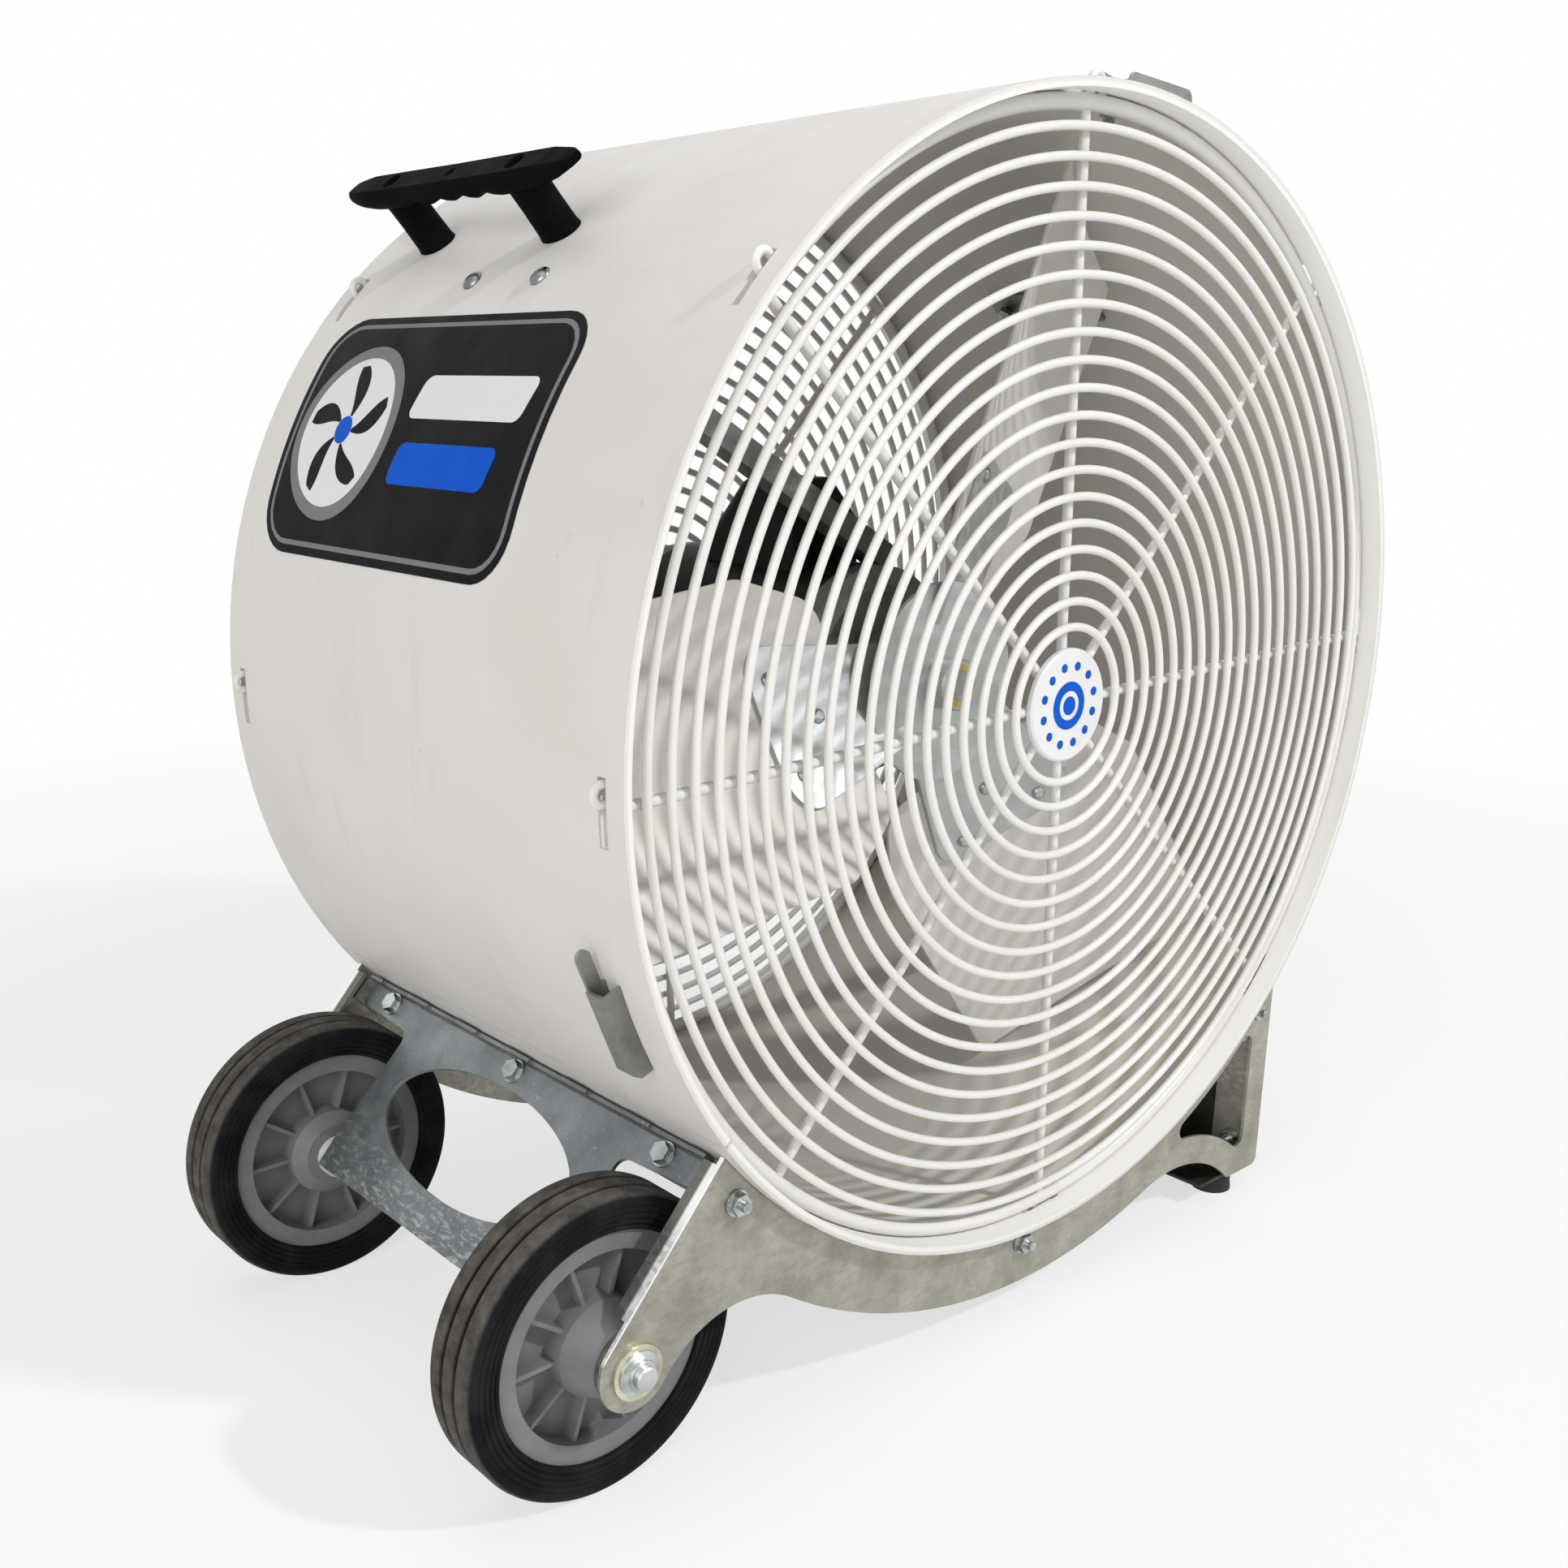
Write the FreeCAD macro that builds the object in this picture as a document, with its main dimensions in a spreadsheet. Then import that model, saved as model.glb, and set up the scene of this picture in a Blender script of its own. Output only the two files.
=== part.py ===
# Air circulator fan: a drum fan that stands on two wheels and two feet, as separate pieces.
# Millimetres. X points right in the front view, Y from the front to the back, Z up.
# The origin lies on the floor, in the middle of the overall box.
import FreeCAD, Part
import math
import os

import Sketcher
from FreeCAD import Placement, Rotation, Vector

SIZES = [
    # Drum
    ("drum_diameter", 660.0),
    ("drum_wall", 5.0),
    ("drum_depth", 405.0),
    ("drum_floor_gap", 60.12),
    ("seam_angle", -144.5),
    ("seam_gap", 2.0),
    # Guards
    ("guard_recess", 11.0),
    ("guard_wire", 5.0),
    ("guard_pitch", 14.6),
    ("guard_margin", 17.0),
    ("guard_rim_wire", 9.2),
    ("guard_rim_gap", 0.4),
    ("spoke_wire", 6.0),
    ("spoke_count", 8),
    ("spoke_turn", 1.5),
    ("hook_radius", 5.0),
    ("hook_wire", 4.8),
    ("hook_slot_play", 0.7),
    ("hook_slot_tail", 18.0),
    ("badge_diameter", 66.0),
    ("badge_thickness", 4.0),
    ("badge_chamfer", 1.2),
    # Wheels and axle
    ("wheel_diameter", 172.0),
    ("wheel_gap", 25.0),
    ("wheel_inset", 35.0),
    ("axle_diameter", 12.7),
    ("axle_running_gap", 0.05),
    ("axle_head_across", 19.0),
    ("axle_head_height", 7.0),
    ("axle_washer_diameter", 31.0),
    ("axle_washer_thickness", 2.5),
    ("tyre_width", 38.0),
    ("tyre_section", 20.5),
    ("tyre_shoulder", 5.0),
    ("tread_groove_depth", 3.0),
    ("tread_groove_width", 2.0),
    ("tread_rib_width", 9.5),
    ("hub_rim_thickness", 11.0),
    ("hub_rim_width", 30.0),
    ("hub_web_thickness", 4.0),
    ("hub_boss_diameter", 56.0),
    ("hub_nose_diameter", 40.0),
    ("hub_nose_length", 15.0),
    ("hub_tail_length", 2.0),
    ("hub_rib_count", 10),
    ("hub_rib_thickness", 2.6),
    ("hub_rib_width", 22.0),
    ("side_play", 0.3),
    ("bush_length", 7.0),
    ("bush_diameter", 26.0),
    # End plates
    ("plate_setback", 11.0),
    ("sheet_thickness", 2.5),
    ("plate_fit", 0.3),
    ("plate_web", 40.0),
    ("plate_left_angle", -142.0),
    ("plate_right_angle", -39.0),
    ("plate_corner", 6.0),
    ("arm_end_radius", 23.0),
    ("arm_hollow_radius", 65.0),
    ("arch_share", 0.30303),
    ("arch_angle", -71.5),
    ("strap_width", 20.5),
    ("window_corner", 7.0),
    ("lip_depth", 12.0),
    ("lip_length", 91.0),
    ("plate_bolt_angle", -137.4),
    ("plate_bolt_step_angle", 45.3),
    ("plate_bolt_count", 3),
    ("plate_bolt_offset", 12.0),
    ("clip_width", 24.0),
    ("clip_overlap", 8.0),
    ("clip_reach", 12.0),
    ("clip_hook_gap", 1.0),
    # Small bolts
    ("bolt_diameter", 6.0),
    ("bolt_hole_play", 0.3),
    ("bolt_across", 11.0),
    ("bolt_head_height", 4.2),
    ("bolt_washer_diameter", 15.0),
    ("bolt_washer_thickness", 1.5),
    ("bolt_tail", 4.0),
    # Wheel-side panel
    ("panel_inset", 9.8),
    ("panel_bolt_height", 11.4),
    ("panel_bolt_end", 31.5),
    ("panel_top_edge", 6.6),
    ("panel_end_gap", 27.0),
    ("panel_ear_drop", 12.0),
    ("panel_waist_step", 6.2),
    ("panel_corner", 8.0),
    ("panel_hole_margin", 26.2),
    ("panel_hole_height", 76.0),
    ("panel_hole_centre", 49.0),
    ("panel_lip_clearance", 3.5),
    ("panel_lip_depth", 24.0),
    ("axle_ear_height", 30.0),
    ("rail_leg", 21.0),
    ("rail_rise", 6.0),
    ("rail_notch_length", 34.0),
    ("rail_notch_margin", 30.5),
    ("rail_notch_count", 6),
    ("rail_notch_depth", 2.5),
    # Foot side
    ("foot_height", 14.7),
    ("foot_diameter", 28.0),
    ("foot_taper", 1.5),
    ("foot_inset", 29.5),
    ("foot_setback", 28.0),
    ("foot_rail_width", 66.0),
    ("flange_depth", 32.0),
    ("side_bolt_setback", 30.0),
    ("side_bolt_rise", 15.0),
    # Handle
    ("handle_angle", 128.5),
    ("handle_back_gap", 128.0),
    ("handle_length", 230.0),
    ("handle_width", 30.0),
    ("handle_clearance", 29.0),
    ("grip_height", 18.0),
    ("grip_rounding", 5.0),
    ("post_spacing", 128.0),
    ("post_width", 30.0),
    ("finger_count", 4),
    ("finger_depth", 3.0),
    # Drum brackets
    ("bracket_length", 53.0),
    ("bracket_width", 14.0),
    ("bracket_height", 10.5),
    ("bracket_sheet", 2.0),
    ("bracket_ear", 22.0),
    ("bracket_setback", 32.0),
    ("bracket_chamfer", 4.0),
    ("left_bracket_angle", 202.2),
    ("top_bracket_angle", 77.5),
    ("right_bracket_angle", -27.0),
    # Motor and its struts
    ("motor_diameter", 133.0),
    ("motor_front", 150.0),
    ("motor_bell_length", 28.0),
    ("motor_back_gap", 31.0),
    ("motor_tail_length", 26.0),
    ("motor_boss_diameter", 52.0),
    ("motor_boss_length", 9.0),
    ("shaft_diameter", 19.0),
    ("cover_width", 56.0),
    ("cover_front", 207.0),
    ("cover_back_gap", 41.0),
    ("cover_slope_share", 0.4),
    ("cover_top", 117.5),
    ("cover_rounding", 9.0),
    ("strut_front", 210.0),
    ("strut_width", 16.0),
    ("strut_side_angle", 11.9),
    ("strut_front_angle", 7.9),
    ("strut_end_reach", 30.0),
    ("strut_depth", 16.0),
    ("strut_foot_width", 26.0),
    ("strut_sheet", 3.0),
    ("strut_foot_length", 92.0),
    ("strut_bolt_spacing", 66.0),
    ("strut_first_angle", 45.0),
    ("strut_count", 4),
    ("dome_head_diameter", 15.0),
    ("dome_head_height", 4.5),
    # Rotor
    ("hub_front", 92.0),
    ("hub_length", 36.0),
    ("hub_bush_diameter", 32.0),
    ("hub_flange_diameter", 62.0),
    ("hub_flange_thickness", 5.0),
    ("rotor_middle", 108.0),
    ("spider_sheet", 3.0),
    ("spider_disc_diameter", 124.0),
    ("spider_arm_reach", 138.0),
    ("spider_arm_width", 96.0),
    ("blade_count", 3),
    ("blade_first_angle", 66.0),
    ("blade_pitch", 27.0),
    ("blade_chord", 190.0),
    ("blade_camber", 13.0),
    ("blade_sheet", 2.0),
    ("blade_root", 70.0),
    ("blade_root_width", 120.0),
    ("blade_shoulder", 55.0),
    ("blade_corner", 22.0),
    ("tip_gap", 17.0),
    ("rivet_diameter", 9.0),
    ("rivet_height", 2.5),
]

doc = FreeCAD.newDocument("air_circulator_fan")
sheet = doc.addObject("Spreadsheet::Sheet", "Sizes")
for row, (alias, value) in enumerate(SIZES, start=1):
    sheet.set(f"A{row}", alias)
    sheet.set(f"B{row}", str(value))
    sheet.setAlias(f"B{row}", alias)
doc.recompute()
S = {alias: float(sheet.get(alias)) for alias, _ in SIZES}

NODES = []

# Shared places, in the fan's own view: x right and z up from the fan's axis, y back from the drum's middle

RADIUS = S["drum_diameter"] / 2
INNER = RADIUS - S["drum_wall"]
FRONT = -S["drum_depth"] / 2
WHEEL = S["wheel_diameter"] / 2
AXLE_REACH = RADIUS + S["wheel_gap"] + WHEEL
FIT = RADIUS + S["plate_fit"]
T = S["sheet_thickness"]


def polar(radius, degrees):
    return Vector(radius * math.cos(math.radians(degrees)), radius * math.sin(math.radians(degrees)), 0)


AXIS_HEIGHT = RADIUS + S["drum_floor_gap"]
AXLE_DROP = AXIS_HEIGHT - WHEEL
AXLE = Vector(-math.sqrt(AXLE_REACH**2 - AXLE_DROP**2), -AXLE_DROP, 0)
RIGHT_REACH = RADIUS + S["hook_radius"] + S["hook_wire"] / 2
AXIS_X = (WHEEL - AXLE.x - RIGHT_REACH) / 2
AXIS = Vector(AXIS_X, 0, AXIS_HEIGHT)
PLATE_RIGHT = FIT * math.cos(math.radians(S["plate_right_angle"]))
PLATE_BOTTOM = S["foot_height"] - AXIS_HEIGHT
PLATE_INSIDE = FRONT + S["plate_setback"] + T


# Drawing helpers


def arc(centre, start, end, clockwise=False):
    """Arc about a centre from one point to another."""
    first = math.atan2(start.y - centre.y, start.x - centre.x)
    last = math.atan2(end.y - centre.y, end.x - centre.x)
    if clockwise and last > first:
        last -= 2 * math.pi
    if not clockwise and last < first:
        last += 2 * math.pi
    half = (first + last) / 2
    radius = (start - centre).Length
    middle = centre + Vector(math.cos(half), math.sin(half), 0) * radius
    return Part.Arc(start, middle, end)


def line(start, end):
    return Part.LineSegment(start, end)


def rounded(points, radii):
    """Closed outline with straight sides and a rounding at each corner."""
    count = len(points)
    ends = []
    for i, corner in enumerate(points):
        before = (points[i - 1] - corner).normalize()
        after = (points[(i + 1) % count] - corner).normalize()
        half = before.getAngle(after) / 2
        cut = radii[i] / math.tan(half)
        bisector = (before + after).normalize()
        centre = corner + bisector * (radii[i] / math.sin(half))
        ends.append((corner + before * cut, centre - bisector * radii[i], corner + after * cut))
    edges = []
    for i, (first, middle, last) in enumerate(ends):
        if radii[i] > 0:
            edges.append(Part.Arc(first, middle, last))
        edges.append(line(last, ends[(i + 1) % count][0]))
    return edges


def rectangle(left, low, right, high):
    corners = [Vector(left, low, 0), Vector(right, low, 0), Vector(right, high, 0), Vector(left, high, 0)]
    return rounded(corners, [0, 0, 0, 0])


def circle(x, y, radius):
    return Part.Circle(Vector(x, y, 0), Vector(0, 0, 1), radius)


def circle_crossing(first, first_radius, second, second_radius, left):
    """Where two circles cross, on the left or right of the way from the first centre to the second."""
    way = second - first
    gap = way.Length
    along = (first_radius**2 - second_radius**2 + gap**2) / (2 * gap)
    across = math.sqrt(first_radius**2 - along**2)
    unit = way / gap
    side = Vector(-unit.y, unit.x, 0) * (1 if left else -1)
    return first + unit * along + side * across


# Document helpers


def node(thing, label):
    """Names a finished piece and lists it for writing."""
    thing.Label = label
    NODES.append(thing)
    return thing


def bind(thing, **expressions):
    for prop, expression in expressions.items():
        thing.setExpression(prop, expression)


def place(thing, x=0.0, y=0.0, z=0.0, turn=0.0):
    """Puts a piece at a place measured from the fan's axis, turned about the axis direction."""
    thing.Placement = Placement(AXIS + Vector(x, y, z), Rotation(Vector(0, 1, 0), turn))


def new_body(name):
    return doc.addObject("PartDesign::Body", name + "_body")


def origin_of(body, role):
    return [feature for feature in body.Origin.OriginFeatures if feature.Role == role][0]


def sketch_on(body, role, edges, offset=0.0, tilt=None):
    sketch = body.newObject("Sketcher::SketchObject", body.Name + "_sketch")
    sketch.AttachmentSupport = (origin_of(body, role), [""])
    sketch.MapMode = "FlatFace"
    turn = Rotation(Vector(0, 1, 0), tilt) if tilt else Rotation()
    sketch.AttachmentOffset = Placement(Vector(0, 0, offset), turn)
    sketch.addGeometry(edges, False)
    return sketch


def pad(body, sketch, length, symmetric=False, backwards=False):
    """Adds material; the length is an expression on the sheet."""
    feature = body.newObject("PartDesign::Pad", body.Name + "_pad")
    feature.Profile = sketch
    feature.SideType = "Symmetric" if symmetric else "One side"
    feature.Reversed = backwards
    feature.setExpression("Length", length)
    doc.recompute()
    return feature


def pocket(body, sketch, symmetric=False, backwards=False):
    """Cuts right through and makes sure that something was cut."""
    before = body.Shape.Volume
    feature = body.newObject("PartDesign::Pocket", body.Name + "_pocket")
    feature.Profile = sketch
    feature.Type = "ThroughAll"
    feature.SideType = "Symmetric" if symmetric else "One side"
    feature.Reversed = backwards
    doc.recompute()
    if feature.Shape.Volume >= before:
        raise RuntimeError(body.Name + ": a cut removed nothing")
    return feature


def polar_pattern(body, feature, axis, count):
    pattern = body.newObject("PartDesign::PolarPattern", body.Name + "_pattern")
    pattern.Originals = [feature]
    pattern.Axis = (origin_of(body, axis), [""])
    pattern.Angle = 360
    pattern.setExpression("Occurrences", count)
    body.Tip = pattern
    doc.recompute()
    return pattern


def revolve(body, sketch):
    """Turns a profile drawn as radius and length about the piece's own Y axis."""
    feature = body.newObject("PartDesign::Revolution", body.Name + "_revolution")
    feature.Profile = sketch
    feature.ReferenceAxis = (sketch, ["V_Axis"])
    feature.Angle = 360
    doc.recompute()
    return feature


def profile(points):
    corners = [Vector(radius, along, 0) for radius, along in points]
    return rounded(corners, [0] * len(corners))


def shape_node(label, shape):
    """A piece whose shape is worked out here from the sheet's sizes."""
    thing = doc.addObject("Part::Feature", label)
    thing.Shape = shape
    thing.Placement = Placement(AXIS, Rotation()).multiply(shape.Placement)
    return node(thing, label)


def rod(radius, start, direction, length):
    return Part.makeCylinder(radius, length, start, direction)


def hexagon(across, start, direction, height):
    """Hexagonal prism, for bolt heads and nuts."""
    corners = [polar(across / math.sqrt(3), 60 * i) for i in range(7)]
    prism = Part.Face(Part.makePolygon(corners)).extrude(Vector(0, 0, height))
    prism.Placement = Placement(start, Rotation(Vector(0, 0, 1), direction))
    return prism


def turned(shape, degrees):
    """A copy turned about the fan's axis, so that +X goes to the given angle in the front view."""
    copy = shape.copy()
    copy.rotate(Vector(), Vector(0, 1, 0), -degrees)
    return copy


def small_bolt(seat, direction, grip, nut=True):
    """Bolt with its head and washer on a seat; the shank runs along the direction through the grip."""
    washer = S["bolt_washer_thickness"]
    head = S["bolt_head_height"]
    back = direction * -1
    shank_length = grip + (washer + head + S["bolt_tail"] if nut else 0)
    shape = rod(S["bolt_diameter"] / 2, seat, direction, shank_length)
    shape = shape.fuse(rod(S["bolt_washer_diameter"] / 2, seat, back, washer))
    shape = shape.fuse(hexagon(S["bolt_across"], seat + back * washer, back, head))
    if nut:
        far = seat + direction * grip
        shape = shape.fuse(rod(S["bolt_washer_diameter"] / 2, far, direction, washer))
        shape = shape.fuse(hexagon(S["bolt_across"], far + direction * washer, direction, head))
    return shape.removeSplitter()


BOLT_HOLE = S["bolt_diameter"] / 2 + S["bolt_hole_play"]
UP = Vector(0, 0, 1)
BACK = Vector(0, 1, 0)


# Drum: a rolled sheet with a butt seam, hook slots and strut bolt holes


def make_drum():
    body = new_body("drum")
    rings = sketch_on(body, "XZ_Plane", [circle(0, 0, RADIUS), circle(0, 0, INNER)])
    rings.addConstraint(Sketcher.Constraint("Radius", 0, RADIUS))
    rings.addConstraint(Sketcher.Constraint("Radius", 1, INNER))
    rings.setExpression("Constraints[0]", "Sizes.drum_diameter / 2")
    rings.setExpression("Constraints[1]", "Sizes.drum_diameter / 2 - Sizes.drum_wall")
    pad(body, rings, "Sizes.drum_depth", symmetric=True)
    half_width = S["hook_wire"] / 2 + S["hook_slot_play"]
    half_length = S["hook_radius"] + S["hook_wire"] / 2 + S["hook_slot_play"]
    slots = []
    for side in (-1, 1):
        middle = side * (S["drum_depth"] / 2 - HOOK_DEPTH)
        left = -half_length - S["hook_slot_tail"]
        slots += rectangle(left, middle - half_width, half_length, middle + half_width)
    slot = pocket(body, sketch_on(body, "XY_Plane", slots), backwards=True)
    polar_pattern(body, slot, "Y_Axis", "Sizes.spoke_count")
    holes = [circle(0, y, BOLT_HOLE) for y in STRUT_BOLTS]
    tilt = 90 - S["strut_first_angle"]
    hole = pocket(body, sketch_on(body, "XY_Plane", holes, tilt=tilt), backwards=True)
    polar_pattern(body, hole, "Y_Axis", "Sizes.strut_count")
    along = polar(1, S["seam_angle"])
    across = Vector(-along.y, along.x, 0) * (S["seam_gap"] / 2)
    near = along * (INNER - S["drum_wall"])
    far = along * (RADIUS + S["drum_wall"])
    seam = rounded([near - across, far - across, far + across, near + across], [0, 0, 0, 0])
    pocket(body, sketch_on(body, "XZ_Plane", seam), symmetric=True)
    place(body)
    node(body, "drum")


# Wire guards: rings in front of radial spokes, a thick rim ring and wire hooks through the drum wall


def wire_ring(radius, wire, y, turn=360):
    """Ring of six-sided wire about the fan's axis, or part of one that starts upwards."""
    corners = [polar(wire / 2, 90 + 60 * i) for i in range(7)]
    section = Part.Face(Part.makePolygon([Vector(0, y + c.y, radius + c.x) for c in corners]))
    return section.revolve(Vector(), BACK, turn)


def hook():
    """Half ring of wire outside the drum's wall, on two straight legs that go through its slot."""
    loop = wire_ring(S["hook_radius"], S["hook_wire"], 0, 180)
    legs = []
    for side in (-1, 1):
        corners = [polar(S["hook_wire"] / 2, 90 + 60 * i) for i in range(7)]
        section = [Vector(0, c.y, side * (S["hook_radius"] + c.x)) for c in corners]
        legs.append(Part.Face(Part.makePolygon(section)).extrude(Vector(-S["drum_wall"], 0, 0)))
    return loop.fuse(legs).removeSplitter().translated(Vector(RADIUS, 0, 0))


def make_guard(label, side):
    ring_y = side * (S["drum_depth"] / 2 - S["guard_recess"])
    spoke_y = ring_y - side * (S["guard_wire"] + S["spoke_wire"]) / 2
    rim_radius = INNER - S["guard_rim_gap"] - S["guard_rim_wire"] / 2
    solids = [wire_ring(rim_radius, S["guard_rim_wire"], spoke_y)]
    ring = INNER - S["guard_margin"]
    while ring > S["badge_diameter"] / 2 + S["guard_wire"]:
        solids.append(wire_ring(ring, S["guard_wire"], ring_y))
        ring -= S["guard_pitch"]
    inner_end = S["spoke_wire"] * 2
    spoke_length = rim_radius - S["guard_rim_wire"] / 2 - inner_end
    spoke = rod(S["spoke_wire"] / 2, Vector(inner_end, spoke_y, 0), Vector(1, 0, 0), spoke_length)
    loop = hook()
    loop.translate(BACK * side * (S["drum_depth"] / 2 - HOOK_DEPTH))
    count = int(S["spoke_count"])
    for i in range(count):
        angle = 90 + 360 * i / count
        solids.append(turned(spoke, angle + S["spoke_turn"]))
        solids.append(turned(loop, angle))
    shape_node(label, Part.makeCompound(solids))


def make_badge(label, side):
    """Round disc that closes the middle of a guard, in front of the spokes."""
    body = new_body(label)
    disc = sketch_on(body, "XZ_Plane", [circle(0, 0, S["badge_diameter"] / 2)])
    disc.addConstraint(Sketcher.Constraint("Radius", 0, S["badge_diameter"] / 2))
    disc.setExpression("Constraints[0]", "Sizes.badge_diameter / 2")
    plate = pad(body, disc, "Sizes.badge_thickness", backwards=side > 0)
    edge = body.newObject("PartDesign::Chamfer", label + "_chamfer")
    face_y = side * S["badge_thickness"]
    names = [f"Edge{i}" for i, e in enumerate(plate.Shape.Edges, 1) if abs(e.BoundBox.Center.y - face_y) < 0.01]
    edge.Base = (plate, names)
    edge.setExpression("Size", "Sizes.badge_chamfer")
    spoke_front = S["drum_depth"] / 2 - S["guard_recess"] - S["guard_wire"] / 2
    place(body, y=side * spoke_front)
    node(body, label)


HOOK_DEPTH = S["guard_recess"] + (S["guard_wire"] + S["spoke_wire"]) / 2
HOOK_HALF = S["hook_radius"] + S["hook_wire"] / 2
HOOK_TOP = RADIUS + HOOK_HALF
STRUT_MIDDLE = FRONT + S["strut_front"] + S["strut_depth"] / 2 + 9
STRUT_BOLTS = [STRUT_MIDDLE + side * S["strut_bolt_spacing"] / 2 for side in (-1, 1)]


# End plates: sheets that hug the drum, with an arm to the axle and a foot on the other side

LEFT_END = polar(FIT, S["plate_left_angle"])
TO_AXLE = AXLE - LEFT_END
LEAN = math.degrees(math.atan2(TO_AXLE.y, TO_AXLE.x)) - math.degrees(
    math.asin(S["arm_end_radius"] / TO_AXLE.Length)
)
ARM = polar(1, LEAN)
ARM_IN = Vector(-ARM.y, ARM.x, 0)
WEB = FIT + S["plate_web"]
ARCH_RADIUS = S["arch_share"] * RADIUS
ARCH = polar(WEB + ARCH_RADIUS, S["arch_angle"])


def plate_outline():
    centre = Vector()
    tangent = LEFT_END + ARM * math.sqrt(TO_AXLE.Length**2 - S["arm_end_radius"] ** 2)
    hollow_radius = S["arm_hollow_radius"]
    hollow = circle_crossing(centre, WEB + hollow_radius, AXLE, S["arm_end_radius"] + hollow_radius, True)
    arm_low = AXLE + (hollow - AXLE).normalize() * S["arm_end_radius"]
    web_left = polar(WEB, math.degrees(math.atan2(hollow.y, hollow.x)))
    web_right = polar(WEB, S["arch_angle"])
    drop = ARCH.y - PLATE_BOTTOM
    arch_end = Vector(ARCH.x + math.sqrt(ARCH_RADIUS ** 2 - drop**2), PLATE_BOTTOM, 0)
    corner = S["plate_corner"]
    corner_centre = Vector(PLATE_RIGHT - corner, PLATE_BOTTOM + corner, 0)
    corner_low = corner_centre - Vector(0, corner, 0)
    corner_side = corner_centre + Vector(corner, 0, 0)
    right_end = polar(FIT, S["plate_right_angle"])
    return [
        line(LEFT_END, tangent),
        arc(AXLE, tangent, arm_low),
        arc(hollow, arm_low, web_left, clockwise=True),
        arc(centre, web_left, web_right),
        arc(ARCH, web_right, arch_end, clockwise=True),
        line(arch_end, corner_low),
        arc(corner_centre, corner_low, corner_side),
        line(corner_side, right_end),
        arc(centre, right_end, LEFT_END, clockwise=True),
    ]


def window_outline():
    """Opening over the foot: a strap stays along the drum, the side and the arch."""
    corner = S["window_corner"]
    inner = FIT + S["strap_width"]
    arch = ARCH_RADIUS + S["strap_width"]
    side = PLATE_RIGHT - S["strap_width"]
    left = circle_crossing(Vector(), inner + corner, ARCH, arch + corner, True)
    top = Vector(side - corner, -math.sqrt((inner + corner) ** 2 - (side - corner) ** 2), 0)
    low = Vector(side - corner, ARCH.y + math.sqrt((arch + corner) ** 2 - (side - corner - ARCH.x) ** 2), 0)
    left_top = left.normalize() * inner
    left = circle_crossing(Vector(), inner + corner, ARCH, arch + corner, True)
    left_low = left + (ARCH - left).normalize() * corner
    top_left = top - Vector(top).normalize() * corner
    top_right = top + Vector(corner, 0, 0)
    low_right = low + Vector(corner, 0, 0)
    low_left = low + (ARCH - low).normalize() * corner
    return [
        arc(left, left_top, left_low),
        arc(ARCH, left_low, low_left, clockwise=True),
        arc(low, low_left, low_right),
        line(low_right, top_right),
        arc(top, top_right, top_left),
        arc(Vector(), top_left, left_top, clockwise=True),
    ]


def plate_bolt_places():
    count = int(S["plate_bolt_count"])
    angles = [S["plate_bolt_angle"] + S["plate_bolt_step_angle"] * i for i in range(count)]
    return [(angle, polar(FIT + S["plate_bolt_offset"], angle)) for angle in angles]


def side_bolt_heights():
    """Heights of the two bolts that join a plate's side flange to the foot-side panel."""
    low = PLATE_BOTTOM + S["side_bolt_rise"]
    high = -math.sqrt((FIT + S["strap_width"]) ** 2 - PLATE_RIGHT**2 / 1.2) - S["side_bolt_rise"]
    return [low, high]


def make_plate(label, side):
    body = new_body(label)
    edges = plate_outline() + window_outline()
    edges += [circle(p.x, p.y, BOLT_HOLE) for _, p in plate_bolt_places()]
    edges.append(circle(AXLE.x, AXLE.y, S["axle_diameter"] / 2 + S["axle_running_gap"]))
    back = side < 0
    pad(body, sketch_on(body, "XZ_Plane", edges), "Sizes.sheet_thickness", backwards=back)
    start = LEFT_END + ARM * (2 * T)
    end = start + ARM * S["lip_length"]
    lip = rounded([start, end, end + ARM_IN * T, start + ARM_IN * T], [0, 0, 0, 0])
    pad(body, sketch_on(body, "XZ_Plane", lip), "Sizes.lip_depth", backwards=back)
    low, high = side_bolt_heights()
    margin = S["side_bolt_rise"] * 0.8
    flange = rectangle(PLATE_RIGHT - 2 * T, low - margin + T, PLATE_RIGHT - T, high + margin)
    pad(body, sketch_on(body, "XZ_Plane", flange), "Sizes.flange_depth + Sizes.sheet_thickness", backwards=back)
    bolt_y = -side * (S["side_bolt_setback"] - S["plate_setback"])
    holes = [circle(bolt_y, z, BOLT_HOLE) for z in (low, high)]
    pocket(body, sketch_on(body, "YZ_Plane", holes), backwards=True)
    place(body, y=side * (S["drum_depth"] / 2 - S["plate_setback"]))
    node(body, label)


def clip_shape(free):
    """Angle clip on the drum: its upper part is wide, its shoe ends short of the guard hook beside it."""
    wide = S["clip_width"] - S["clip_overlap"]
    over = HOOK_TOP + S["clip_hook_gap"]
    top = FIT + S["strap_width"] - S["clip_hook_gap"]
    low = Part.makeBox(over - FIT, T, wide + free, Vector(FIT, 0, -wide))
    high = Part.makeBox(top - over, T, S["clip_width"], Vector(over, 0, -wide))
    shoe = Part.makeBox(T, S["clip_reach"], wide + free, Vector(FIT, 0, -wide))
    hole = rod(BOLT_HOLE, Vector(FIT + S["plate_bolt_offset"], -T, 0), BACK, 3 * T)
    return low.fuse([high, shoe]).cut(hole).removeSplitter()


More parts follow.
